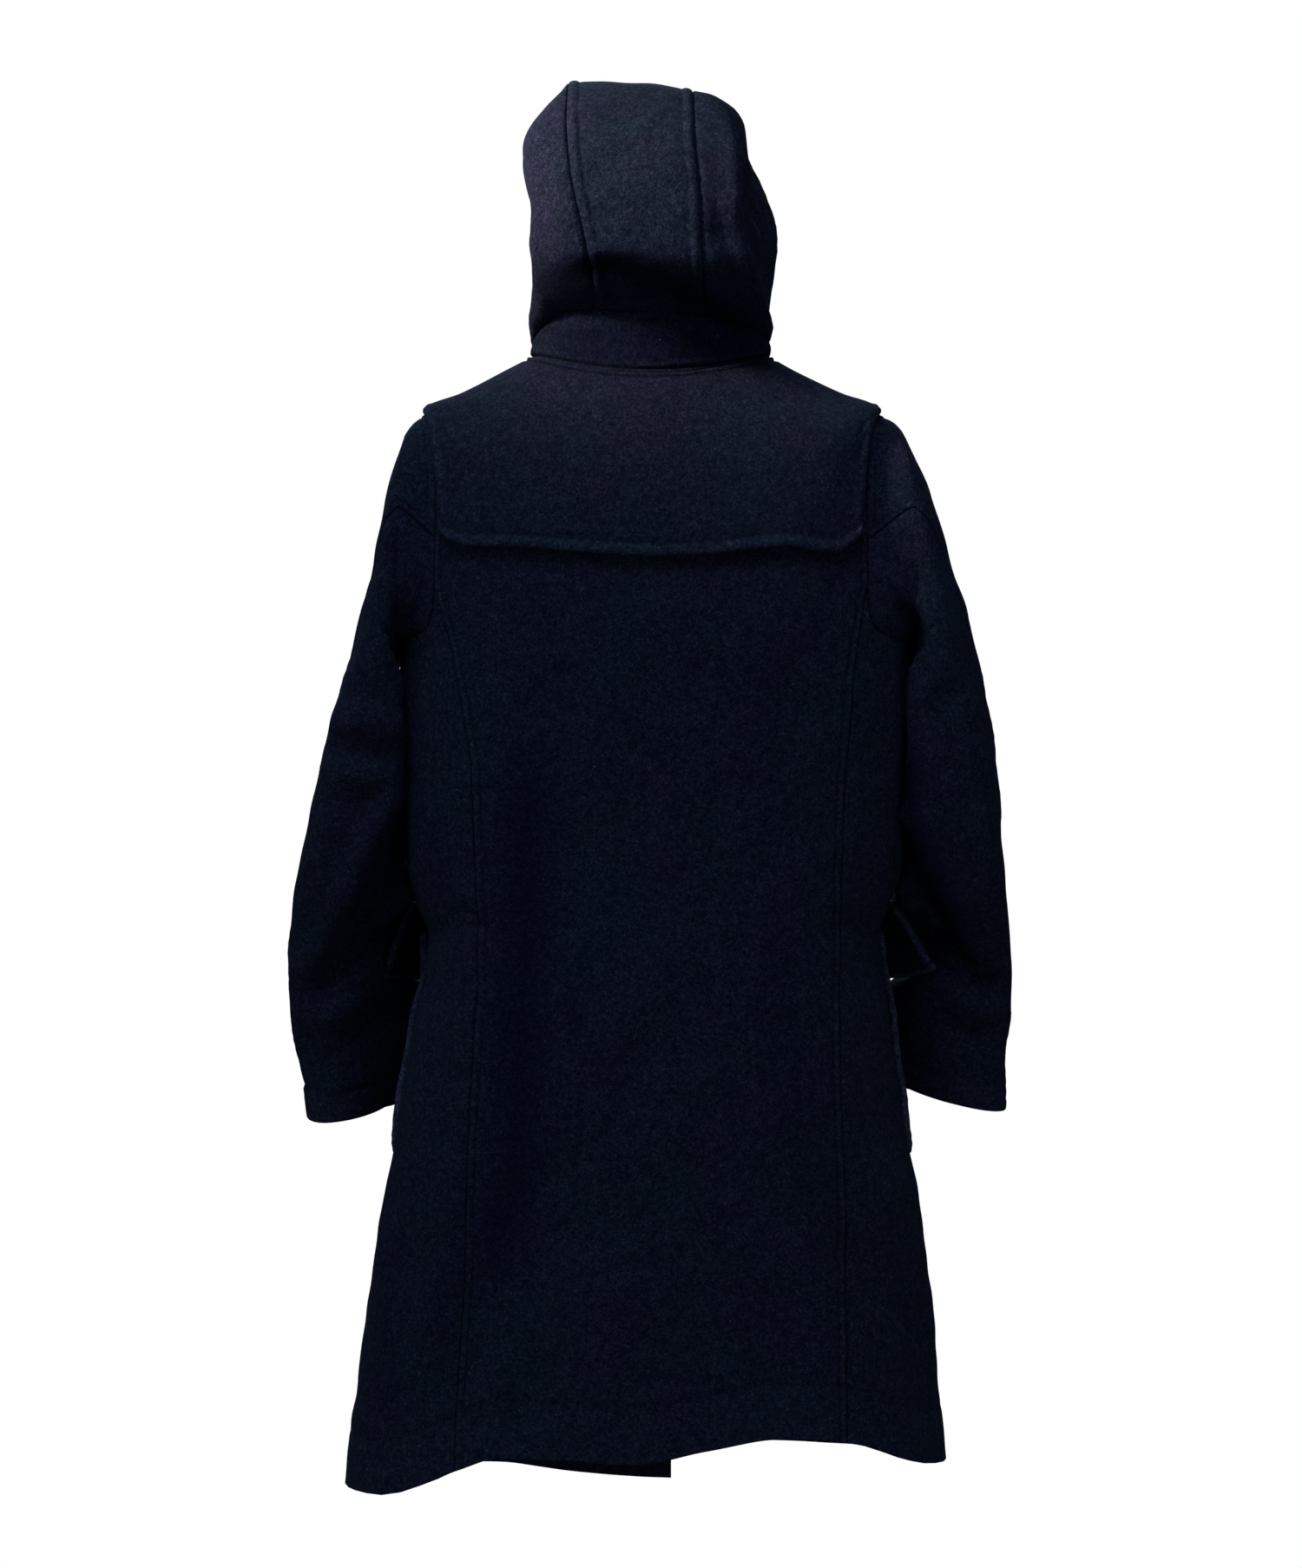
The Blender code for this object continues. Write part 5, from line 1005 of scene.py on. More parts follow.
def wool_material(name="wool", lift=1.0):
    mat = bpy.data.materials.new(name)
    mat.use_nodes = True
    t = mat.node_tree
    shader = t.nodes["Principled BSDF"]
    link = t.links.new
    place = t.nodes.new("ShaderNodeTexCoord").outputs["Object"]

    def noise(scale, detail=3.0, rough=0.55, distortion=0.0):
        n = t.nodes.new("ShaderNodeTexNoise")
        n.inputs["Scale"].default_value = scale
        n.inputs["Detail"].default_value = detail
        n.inputs["Roughness"].default_value = rough
        n.inputs["Distortion"].default_value = distortion
        link(place, n.inputs["Vector"])
        return n

    def ramp(source, stops):
        r = t.nodes.new("ShaderNodeValToRGB")
        while len(r.color_ramp.elements) > 2:
            r.color_ramp.elements.remove(r.color_ramp.elements[-1])
        r.color_ramp.elements[0].position, r.color_ramp.elements[0].color = stops[0][0], (*stops[0][1], 1)
        r.color_ramp.elements[1].position, r.color_ramp.elements[1].color = stops[-1][0], (*stops[-1][1], 1)
        for pos, col in stops[1:-1]:
            e = r.color_ramp.elements.new(pos)
            e.color = (*col, 1)
        link(source, r.inputs["Fac"])
        return r.outputs["Color"]

    def mix(a, b, fac, mode="MIX"):
        m = t.nodes.new("ShaderNodeMix")
        m.data_type = "RGBA"
        m.blend_type = mode
        if hasattr(fac, "links") or not isinstance(fac, float):
            link(fac, m.inputs["Factor"])
        else:
            m.inputs["Factor"].default_value = fac
        link(a, m.inputs["A"])
        link(b, m.inputs["B"])
        return m.outputs["Result"]

    dark, mid, light = WOOL_DARK, WOOL_MID, WOOL_LIGHT
    fibres = ramp(noise(430.0, 4.0, 0.72, 1.2).outputs["Fac"], [(0.36, dark), (0.50, mid), (0.66, light)])
    tufts = ramp(noise(170.0, 3.0, 0.62, 0.8).outputs["Fac"], [(0.33, (0.62, 0.64, 0.70)), (0.66, (1.40, 1.38, 1.30))])
    broad = ramp(noise(15.0, 3.0, 0.6).outputs["Fac"], [(0.36, (1.14, 0.90, 1.08)), (0.50, (1.0, 1.0, 1.0)), (0.64, (0.86, 1.10, 1.00))])
    colour = mix(mix(fibres, tufts, 1.0, "MULTIPLY"), broad, 1.0, "MULTIPLY")
    # painted shade from the strokes: the colour darkens down to 0.07 of itself
    painted_shade = t.nodes.new("ShaderNodeAttribute")
    painted_shade.attribute_name = "painted_shade"
    depth = t.nodes.new("ShaderNodeMath")
    depth.operation = "MULTIPLY"
    depth.inputs[1].default_value = 0.5
    link(painted_shade.outputs["Fac"], depth.inputs[0])
    colour = mix(colour, ramp(depth.outputs[0], [(0.0, (1.0, 1.0, 1.0)), (0.5, (0.46, 0.40, 0.70)), (1.0, (0.07, 0.07, 0.09))]), 1.0, "MULTIPLY")
    # painted shade in the seams and stitch lines, and a painted highlight up to 3.2 times the colour on raised edges
    tone = t.nodes.new("ShaderNodeAttribute")
    tone.attribute_name = "tone"
    half = t.nodes.new("ShaderNodeMath")
    half.operation = "MULTIPLY_ADD"
    half.inputs[1].default_value = 0.25
    half.inputs[2].default_value = 0.5
    link(tone.outputs["Fac"], half.inputs[0])
    colour = mix(colour, ramp(half.outputs[0], [(0.0, (3.2, 3.1, 2.8)), (0.25, (1.55, 1.52, 1.42)), (0.5, (1.0, 1.0, 1.0)), (0.75, (0.30, 0.30, 0.36)), (1.0, (0.25, 0.25, 0.30))]), 1.0, "MULTIPLY")
    lint = ramp(noise(210.0, 1.0, 0.5).outputs["Fac"], [(0.815, (0, 0, 0)), (0.83, (1, 1, 1))])
    white = t.nodes.new("ShaderNodeRGB")
    white.outputs[0].default_value = (0.16, 0.17, 0.20, 1)
    colour = mix(colour, white.outputs[0], lint)
    link(colour, shader.inputs["Base Color"])
    shader.inputs["Roughness"].default_value = 1.0
    shader.inputs["Specular IOR Level"].default_value = 0.08
    shader.inputs["Sheen Weight"].default_value = SHEEN
    shader.inputs["Sheen Roughness"].default_value = 0.55
    shader.inputs["Sheen Tint"].default_value = (0.55, 0.60, 0.78, 1)
    fine = t.nodes.new("ShaderNodeBump")
    fine.inputs["Strength"].default_value = 1.0
    fine.inputs["Distance"].default_value = 0.0016
    link(noise(380.0, 5.0, 0.70, 1.4).outputs["Fac"], fine.inputs["Height"])
    coarse = t.nodes.new("ShaderNodeBump")
    coarse.inputs["Strength"].default_value = 0.8
    coarse.inputs["Distance"].default_value = 0.0032
    link(noise(150.0, 3.0, 0.58, 0.9).outputs["Fac"], coarse.inputs["Height"])
    link(coarse.outputs["Normal"], fine.inputs["Normal"])
    link(fine.outputs["Normal"], shader.inputs["Normal"])
    return mat


def simple_material(name, base, other, scale, rough, bump, distance, spec=0.4, coat=0.0, stretch=(1, 1, 1)):
    mat = bpy.data.materials.new(name)
    mat.use_nodes = True
    t = mat.node_tree
    shader = t.nodes["Principled BSDF"]
    coord = t.nodes.new("ShaderNodeTexCoord")
    mapping = t.nodes.new("ShaderNodeMapping")
    mapping.inputs["Scale"].default_value = stretch
    t.links.new(coord.outputs["Object"], mapping.inputs["Vector"])
    n = t.nodes.new("ShaderNodeTexNoise")
    n.inputs["Scale"].default_value = scale
    n.inputs["Detail"].default_value = 5.0
    n.inputs["Distortion"].default_value = 1.2
    t.links.new(mapping.outputs["Vector"], n.inputs["Vector"])
    r = t.nodes.new("ShaderNodeValToRGB")
    r.color_ramp.elements[0].position, r.color_ramp.elements[1].position = 0.35, 0.68
    r.color_ramp.elements[0].color, r.color_ramp.elements[1].color = (*base, 1), (*other, 1)
    t.links.new(n.outputs["Fac"], r.inputs["Fac"])
    t.links.new(r.outputs["Color"], shader.inputs["Base Color"])
    shader.inputs["Roughness"].default_value = rough
    shader.inputs["Specular IOR Level"].default_value = spec
    shader.inputs["Coat Weight"].default_value = coat
    b = t.nodes.new("ShaderNodeBump")
    b.inputs["Strength"].default_value = bump
    b.inputs["Distance"].default_value = distance
    t.links.new(n.outputs["Fac"], b.inputs["Height"])
    t.links.new(b.outputs["Normal"], shader.inputs["Normal"])
    return mat


WOOL_DARK = (0.0075, 0.0092, 0.0180)
WOOL_MID = (0.0180, 0.0226, 0.0400)
WOOL_LIGHT = (0.0520, 0.0570, 0.0830)
SHEEN = 0.035
WOOL_MAT = wool_material()


# ---------------------------------------------------------------- body panels
def build_panels():
    rows = body_rows(0.0)
    few = EDGE_STEPS
    back = body_piece(rows, lambda s: back_edge(-1, s), lambda s: back_edge(1, s), few, few, 62)
    add_creases(back, BACK_CREASES, 1)
    body_details(back, 11, 0.0068, 0.0068)
    under_yoke(back)
    finish_cloth(back.build("back_cloth"), ["back"], WOOL_MAT, back)

    low = rows[rows > SPLIT_RING + 0.02]
    for side, name in ((1, "left"), (-1, "right")):
        edges = [lambda s, side=side: princess(side, s), lambda s, side=side: side_edge(side, True, s)]
        if side < 0:
            edges.reverse()
        piece = body_piece(low, edges[0], edges[1], few, few, 8)
        add_creases(piece, BACK_CREASES + SIDE_BACK_CREASES, 1)
        body_details(piece, 23 + side)
        finish_cloth(piece.build("side_back_%s_cloth" % name), ["side_back_" + name], WOOL_MAT, piece)

    rows = body_rows(180.0)
    left = body_piece(rows, lambda s: side_edge(1, False, s), lambda s: lap_angle(LEFT_LAP, s), few, FREE_STEPS, 40)
    right = body_piece(rows, lambda s: -lap_angle(RIGHT_LAP, s), lambda s: side_edge(-1, False, s), FREE_STEPS, few, 40, lifted=True)
    for piece, name, seed, edge in ((left, "left", 41, "r"), (right, "right", 47, "l")):
        add_creases(piece, FRONT_CREASES, -1, plane="front")
        d = piece.r if edge == "r" else piece.l
        piece.both *= smooth((d - 0.02) / 0.05)
        body_details(piece, seed)
        piece.out += stitch(d, piece.t, at=0.0075, seed=seed)
        kinds = {"l": "seam", "r": "seam", edge: "free"}
        finish_cloth(piece.build("front_%s_cloth" % name, **kinds), ["front_" + name], WOOL_MAT, piece)


def under_yoke(piece):
    """Keep what lies under the yoke smooth, so that it stays clear of it."""
    hidden = smooth((piece.p[..., 2] + 0.178) / 0.012)
    piece.both = piece.both * (1 - hidden) - 0.0004 * hidden


# ---------------------------------------------------------------- yoke
def boundary_distance(points, faces):
    marks = []
    for a, b in rim_edges(faces):
        n = max(int(np.linalg.norm(points[a] - points[b]) / 0.0006), 1)
        for i in range(n + 1):
            marks.append(points[a] + (points[b] - points[a]) * i / n)
    tree = KDTree(len(marks))
    for i, m in enumerate(marks):
        tree.insert(m, i)
    tree.balance()
    return np.array([tree.find(p)[2] for p in points])


def yoke_segment(s, right, left, steps_r, steps_l, middle, lifted):
    a, b = right(s), left(s)
    th = np.linspace(a, b, 161)
    run = np.concatenate([[0], np.cumsum(np.linalg.norm(np.diff(body(th, s), axis=0), axis=1))])
    at = offsets(run[-1], steps_r, steps_l, middle)
    th = np.interp(at, run, th)
    p, n = body(th, s), body_normal(th, s)
    if lifted:
        p = p + n * over_lift(p[:, 0])[:, None]
    return p, n


def build_yoke_piece():
    steps = FREE_STEPS[[0, 1, 2, 3, 4, 5, 6, 7, 8, 9, 10, 12]]
    inset = {3: 0.0, 3.1: 0.0015, 3.25: 0.0028, 3.6: 0.0032, 4: 0.0045, 4.5: 0.0090, 5: 0.0130, 5.75: 0.0150, 6.6: 0.0160}

    def edge(side, back):
        def angle(s):
            if s <= 3:
                return side * 90.0
            base = side_edge(side, back, s)
            toward = -1.0 if (side > 0) == back else 1.0
            return float(nudge(base, s, toward * float(look(inset, s))))
        return angle

    stop = RIGHT_LAP + 0.0025

    def stop_angle(s):
        ths = np.linspace(90.0, 180.0, 181)
        return float(np.interp(-stop, -body(ths, s)[:, 0], ths))

    segs = {
        "right": (lambda s: -lap_angle(RIGHT_LAP - 0.0004, s), edge(-1, False), steps, steps, 30, True),
        "back": (edge(-1, True), edge(1, True), steps, steps, 60, False),
        "left": (edge(1, False), stop_angle, steps, steps, 22, False),
    }
    tops = ring_rows(0.0, 0, 3, 0.0045, top=FREE_STEPS[[0, 1, 3, 5, 7, 9, 11]])
    whole_p, whole_n = [], []
    for s in tops:
        parts = [yoke_segment(s, *segs[k]) for k in ("right", "back", "left")]
        whole_p.append(np.concatenate([parts[0][0][:-1], parts[1][0], parts[2][0][1:]]))
        whole_n.append(np.concatenate([parts[0][1][:-1], parts[1][1], parts[2][1][1:]]))
    counts = {k: len(yoke_segment(2.0, *segs[k])[0]) for k in segs}
    points, normals, faces = [], [], []
    down, side_d = [], []

    def put(ps, ns, d, sd):
        start = sum(len(x) for x in points)
        points.append(ps)
        normals.append(ns)
        down.append(d)
        side_d.append(sd)
        return np.arange(start, start + len(ps))

    prev = None
    total_cols = len(whole_p[0])
    for p, n in zip(whole_p, whole_n):
        ids = put(p, n, np.full(total_cols, 1.0), np.full(total_cols, 1.0))
        if prev is not None:
            faces.append(np.stack([prev[:-1], prev[1:], ids[1:], ids[:-1]], axis=-1))
        prev = ids
    a, b = counts["right"] - 1, counts["back"]
    starts = {"right": (0, a + 1), "back": (a, a + b), "left": (a + b - 1, total_cols)}
    ss = 5.0 - 2.0 * np.cos(np.radians(np.linspace(0, 140, 80)))
    for key in ("right", "back", "left"):
        grid = [yoke_segment(s, *segs[key]) for s in ss]
        gp, gn = np.array([g[0] for g in grid]), np.array([g[1] for g in grid])
        cols = gp.shape[1]
        width = np.concatenate([[0], np.cumsum(np.linalg.norm(np.diff(gp[40], axis=0), axis=1))])
        rows_p, rows_n, rows_d = [], [], []
        lengths = []
        for c in range(cols):
            z = gp[:, c, 2]
            floor = look(YOKE_BOTTOM, gp[:, c, 0]) if key == "back" else np.full(len(z), YOKE_FRONT_BOTTOM)
            from_side = min(width[c] if key != "right" else 1.0, (width[-1] - width[c]) if key != "left" else 1.0)
            corner = 0.0
            if key == "back" or (key == "right" and width[-1] - width[c] < 0.5) or key == "left":
                corner = float(drop(np.array(from_side), 0.010))
            gap = z - (floor + corner)
            i = int(np.argmax(gap < 0)) if np.any(gap < 0) else len(z) - 1
            t = gap[i - 1] / max(gap[i - 1] - gap[i], 1e-9)
            run = np.concatenate([[0], np.cumsum(np.linalg.norm(np.diff(gp[:, c], axis=0), axis=1))])
            full = run[i - 1] + (run[i] - run[i - 1]) * t
            at = offsets(full, np.array([0.0]), FREE_STEPS, 24)[1:]
            rows_p.append(np.stack([np.interp(at, run, gp[:, c, k]) for k in range(3)], axis=-1))
            rows_n.append(unit(np.stack([np.interp(at, run, gn[:, c, k]) for k in range(3)], axis=-1)))
            rows_d.append(full - at)
        rp, rn, rd = np.array(rows_p).transpose(1, 0, 2), np.array(rows_n).transpose(1, 0, 2), np.array(rows_d).T
        lo, hi = starts[key]
        upper = prev[lo:hi]
        for r in range(rp.shape[0]):
            ids = put(rp[r], rn[r], rd[r], np.full(cols, 1.0))
            faces.append(np.stack([upper[:-1], upper[1:], ids[1:], ids[:-1]], axis=-1))
            upper = ids
    points, normals = np.concatenate(points), np.concatenate(normals)
    down = np.concatenate(down)
    faces = np.concatenate(faces)
    d = boundary_distance(points, faces)
    q = to_photo(points)
    lift = np.full(len(points), YOKE_FLOAT)
    near = np.exp(-down / 0.016) * (down < 0.5)
    lift = lift + near * (YOKE_LIFT + 0.0012)
    # the back edge waves a little
    wavy = near * smooth((points[:, 1]) / 0.03)
    lift = lift + wavy * 0.0022 * (np.exp(-((q[:, 0] - 905) / 32) ** 2) - 0.5 * np.exp(-((q[:, 0] - 955) / 22) ** 2)
                                   + 0.5 * np.exp(-((q[:, 0] - 560) / 26) ** 2))
    both = lift + 0.0007 * waves(points, 0.10, 5) * smooth(d / 0.03)
    out = np.zeros(len(points))
    below = down < 0.5
    roll = np.where(below, np.exp(-((down - 0.0052) / 0.0042) ** 2), 0.0)
    out += 0.0020 * roll - 0.0009 * np.exp(-((np.where(below, down, 1) - 0.0125) / 0.0022) ** 2)
    run = points[:, 0] + points[:, 2]
    edge_only = (~below) | (down > 0.02)
    out += np.where(edge_only & (points[:, 2] < -0.03), 1.0, 0.0) * (stitch(d, run, at=0.0098, depth=0.0006) + 0.0004 * np.exp(-((d - 0.004) / 0.003) ** 2))
    neck = (~below) & (points[:, 2] > -0.03)
    out += np.where(neck, 0.0008 * np.exp(-((d - 0.0025) / 0.0012) ** 2) - 0.0017 * np.exp(-((d - 0.0050) / 0.0012) ** 2), 0.0)
    thick = WALL
    r_free = np.where(below & (down < 0.012), 0.0026, 0.0017)
    fall = np.array([float(drop(np.array(x), r)) for x, r in zip(d, r_free)]) * 0.95
    rise = drop(d, 0.0014) * 0.7
    outer = points + normals * (thick + both + out - fall)[:, None]
    inner = points + normals * (both + rise)[:, None]
    obj = close_up("yoke_cloth", outer, inner, faces)
    tri = points[faces]
    area = float((np.linalg.norm(np.cross(tri[:, 2] - tri[:, 0], tri[:, 3] - tri[:, 1]), axis=-1) / 2).sum())
    width, length = 0.72, max(0.42, area / 0.72 * 1.25)
    finish_object(obj, ["yoke"], WOOL_MAT)
    # painted shade in the neck seam and stitch lines, painted highlight on the rolled bottom edge
    painted_light_attributes(obj, painted_shade_and_highlight(out, fall * neck))


# ---------------------------------------------------------------- sleeves
LEFT_SLEEVE_CREASES = [
    ([(366, 862), (404, 864), (438, 872), (462, 886)], 15, -5.5, "trough", 0.3),
    ([(380, 893), (420, 900), (458, 898)], 15, 3.5, "ridge", 0.0),
    ([(476, 880), (452, 922), (425, 972), (400, 1022), (374, 1080), (350, 1140)], 14, 6.0, "ridge", 0.2),
    ([(486, 925), (462, 985), (440, 1040), (420, 1090)], 21, -12.0, "trough", 0.0),
    ([(450, 1020), (420, 1065), (390, 1115), (362, 1165)], 16, -6.0, "trough", -0.2),
    ([(462, 1080), (430, 1122), (395, 1160), (350, 1185)], 20, 3.6, "ridge", 0.0),
    ([(455, 1165), (422, 1190), (380, 1205)], 15, -2.8, "trough", 0.0),
    ([(486, 636), (462, 672), (440, 712), (424, 760), (414, 810)], 17, 3.0, "ridge", 0.0),
    ([(500, 664), (484, 700), (472, 740), (462, 778)], 9, -4.5, "trough", 0.0),
    ([(428, 690), (404, 760), (390, 840)], 18, -2.2, "trough", 0.0),
    ([(448, 1208), (402, 1226), (362, 1228)], 14, -1.6, "trough", 0.0),
    ([(352, 1000), (342, 1050), (338, 1110)], 14, -2.0, "trough", 0.0),
    ([(372, 800), (388, 830), (410, 846)], 14, 1.8, "ridge", 0.0),
]
RIGHT_SLEEVE_CREASES = [
    ([(1008, 628), (1030, 662), (1056, 688), (1078, 712)], 10, 3.0, "ridge", 0.0),
    ([(1026, 684), (1048, 716), (1058, 752), (1054, 800)], 11, -5.0, "trough", 0.0),
    ([(1072, 690), (1090, 735), (1096, 800)], 15, 2.6, "ridge", 0.0),
    ([(1104, 790), (1072, 825), (1050, 850)], 14, -2.2, "trough", 0.0),
    ([(1036, 905), (1060, 965), (1090, 1030), (1118, 1090), (1140, 1135)], 14, 5.5, "ridge", -0.2),
    ([(1024, 945), (1046, 1005), (1068, 1055), (1090, 1095)], 20, -11.0, "trough", 0.0),
    ([(1060, 1035), (1090, 1080), (1120, 1125), (1150, 1160)], 16, -5.5, "trough", 0.2),
    ([(1050, 1090), (1085, 1130), (1122, 1160), (1160, 1168)], 20, 3.4, "ridge", 0.0),
    ([(1070, 1170), (1108, 1192), (1150, 1190)], 15, -2.4, "trough", 0.0),
    ([(1122, 890), (1112, 955), (1120, 1020)], 18, -1.8, "trough", 0.0),
    ([(1105, 730), (1126, 800), (1132, 870)], 18, -2.0, "trough", 0.0),
    ([(1052, 880), (1085, 868), (1120, 872)], 14, 1.6, "ridge", 0.0),
]
# On the sides and fronts of both sleeves: turn round the sleeve in degrees, height in metres.
ROUND_CREASES = [
    ([(-150, -0.400), (-95, -0.430), (-45, -0.425)], 0.013, -3.6, "trough", 0.2),
    ([(-150, -0.445), (-100, -0.470), (-50, -0.480)], 0.013, -3.8, "trough", 0.2),
    ([(-155, -0.375), (-110, -0.390), (-70, -0.372)], 0.012, -2.0, "trough", 0.0),
    ([(-150, -0.422), (-100, -0.450), (-48, -0.452)], 0.012, 2.6, "ridge", 0.0),
    ([(-150, -0.495), (-105, -0.520), (-60, -0.548)], 0.014, -2.4, "trough", 0.0),
    ([(-60, -0.160), (-80, -0.220), (-100, -0.270)], 0.014, -2.0, "trough", 0.0),
    ([(-30, -0.300), (-50, -0.350), (-90, -0.380)], 0.014, -1.6, "trough", 0.0),
    ([(20, -0.440), (-10, -0.470), (-45, -0.480)], 0.015, -1.8, "trough", 0.0),
    ([(30, -0.240), (5, -0.300), (-20, -0.330)], 0.018, -1.2, "trough", 0.0),
    ([(25, -0.540), (0, -0.560), (-30, -0.590)], 0.014, -1.4, "trough", 0.0),
]


# Where the inside of each sleeve bulges toward the body: height, half extent, distance.
NEAR_LEFT = [(-0.254, 0.022, 0.004), (-0.452, 0.024, 0.016), (-0.535, 0.011, 0.015)]
NEAR_RIGHT = [(-0.252, 0.022, 0.003), (-0.458, 0.020, 0.015), (-0.532, 0.011, 0.012)]


def sleeve_pieces(side, name):
    back = lambda k: float(look(BACK_SEAM, k))
    front = lambda k: float(look(FRONT_SEAM, k))
    kk = np.linspace(0, 13, 900)
    line = np.array([sleeve(side, k, np.array([60.0]))[0] for k in kk])
    run = np.concatenate([[0], np.cumsum(np.linalg.norm(np.diff(line, axis=0), axis=1))])
    at = offsets(run[-1], EDGE_STEPS[[0, 1, 2, 3, 4, 5, 6, 7, 8, 9, 10, 11, 12, 14]], FREE_STEPS, run[-1] / 0.0052)
    ks = np.interp(at, run, kk)

    def make(lo, hi, label, seed):
        p, n, turn = [], [], []
        for k in ks:
            a, b = lo(k), hi(k)
            th = np.linspace(a, b, 161)
            pts = sleeve(side, k, th)
            length = np.concatenate([[0], np.cumsum(np.linalg.norm(np.diff(pts, axis=0), axis=1))])
            spots = offsets(length[-1] - GAP, EDGE_STEPS, EDGE_STEPS, 34 if label == "upper" else 24) + GAP / 2
            th = np.interp(spots, length, th)
            away_from = sleeve_normal(side, max(k, 0.04), th)
            p.append(sleeve(side, k, th) + WALL * min(k, 1.0) * away_from)
            n.append(away_from)
            turn.append((th + 180) % 360 - 180)
        p, turn = np.array(p), np.array(turn)
        facing_body = smooth((turn % 360 - 120) / 40) * smooth((245 - turn % 360) / 40)
        for z, high, closer in (NEAR_LEFT if side > 0 else NEAR_RIGHT):
            p[..., 0] -= side * closer * facing_body * np.exp(-((p[..., 2] - z) / high) ** 2)
        piece = Piece(p, np.array(n))
        rows = LEFT_SLEEVE_CREASES if side > 0 else RIGHT_SLEEVE_CREASES
        settle = smooth((piece.t - 0.004) / 0.03)
        mask = smooth((piece.n[..., 1] - 0.02) / 0.42) * settle
        for path, width, height, kind, skew in rows:
            piece.both += crease(piece.photo, path, width, height * 1.35 / 1000.0, kind, skew) * mask
        q = np.stack([turn * 0.00105, piece.p[..., 2]], axis=-1)
        away = 1 - smooth((piece.n[..., 1] - 0.15) / 0.4)
        for path, width, height, kind, skew in ROUND_CREASES:
            path = [(deg * 0.00105, z + (0.012 if side < 0 else 0.0)) for deg, z in path]
            piece.both += crease(q, path, width, height / 1000.0, kind, skew) * away * settle
        piece.both += (0.0011 * waves(piece.p, 0.09, 61) + 0.0005 * waves(piece.p, 0.03, 62)) * settle
        calm = smooth((piece.b - 0.004) / 0.03)
        piece.both *= 0.35 + 0.65 * calm
        # the turned-up cuff and its line of stitches, and the seam's own stitches
        piece.out += 0.0007 * smooth((0.0262 - piece.b) / 0.003) - 0.0011 * np.exp(-((piece.b - 0.0272) / 0.0013) ** 2)
        edge = piece.l if label == "under" else piece.r
        fade = 0.9 if label == "upper" else 0.0
        piece.out += fade * stitch(edge, piece.t, at=0.0062, depth=0.0004, seed=seed)
        piece.out += stitch(piece.t, piece.l, at=0.0085, depth=0.00045, seed=seed) * smooth((np.cos(np.radians(turn)) - 0.05) / 0.3)
        obj = piece.build("sleeve_%s_%s_cloth" % (name, label))
        finish_cloth(obj, ["sleeve_%s_%s" % (name, label)], WOOL_MAT, piece)

    make(front, back, "upper", 61 + side)
    make(back, lambda k: front(k) + 360, "under", 71 + side)


# ---------------------------------------------------------------- hood
HOOD_CREASES = [
    ([(640, 118), (628, 180), (634, 250), (640, 300)], 13, -1.4, "trough", 0.0),
    ([(690, 262), (750, 290), (820, 300), (868, 306)], 20, 3.0, "ridge", 0.0),
    ([(660, 268), (690, 248), (730, 246)], 13, -1.5, "trough", 0.0),
    ([(664, 288), (694, 272), (738, 276)], 9, -1.4, "trough", 0.0),
    ([(672, 306), (712, 298), (748, 306)], 8, -1.4, "trough", 0.0),
    ([(700, 110), (720, 170), (716, 230)], 26, -1.2, "trough", 0.0),
    ([(845, 120), (852, 160), (854, 200), (854, 240), (861, 275), (873, 312), (886, 350), (896, 400), (902, 440)], 10, -4.2, "step", 0.0),
    ([(838, 130), (846, 170), (847, 205), (847, 240), (854, 276), (866, 314), (879, 352), (890, 400)], 9, 1.8, "ridge", 0.0),
    ([(640, 322), (700, 308), (760, 326), (820, 338)], 12, -2.0, "trough", 0.0),
    ([(820, 200), (838, 260), (850, 320)], 18, -1.2, "trough", 0.0),
    ([(600, 210), (612, 280), (620, 340)], 12, 1.4, "ridge", 0.0),
]
HOOD_SIDE_CREASES = [
    # along the panel from back to front and up, in metres (y, z)
    ([(0.090, 0.050), (0.040, 0.080), (-0.020, 0.075)], 0.016, -2.2, "trough", 0.0),
    ([(0.110, 0.110), (0.060, 0.120), (0.000, 0.105)], 0.018, -1.6, "trough", 0.0),
    ([(0.080, 0.030), (0.030, 0.045), (-0.050, 0.020)], 0.013, -2.2, "trough", 0.2),
    ([(0.095, 0.080), (0.050, 0.100), (-0.010, 0.090)], 0.013, 1.4, "ridge", 0.0),
    ([(-0.060, 0.150), (-0.075, 0.080), (-0.072, 0.000)], 0.014, -1.8, "trough", 0.0),
    ([(-0.020, 0.190), (0.010, 0.170), (0.060, 0.165)], 0.016, -1.0, "trough", 0.0),
]


def rest_on_stand(p, row, distance):
    """Bring one border row of a hood piece exactly onto the stand's top edge."""
    top = stand_point(np.linspace(-STAND_END, STAND_END, 2400), 1.0)
    tree = KDTree(len(top))
    for i, q in enumerate(top):
        tree.insert(q, i)
    tree.balance()
    move = np.array([np.array(tree.find(q)[0]) - q for q in p[row]])
    move[..., 2] += GAP
    return p + move[None] * (1 - smooth(distance / 0.022))[..., None]


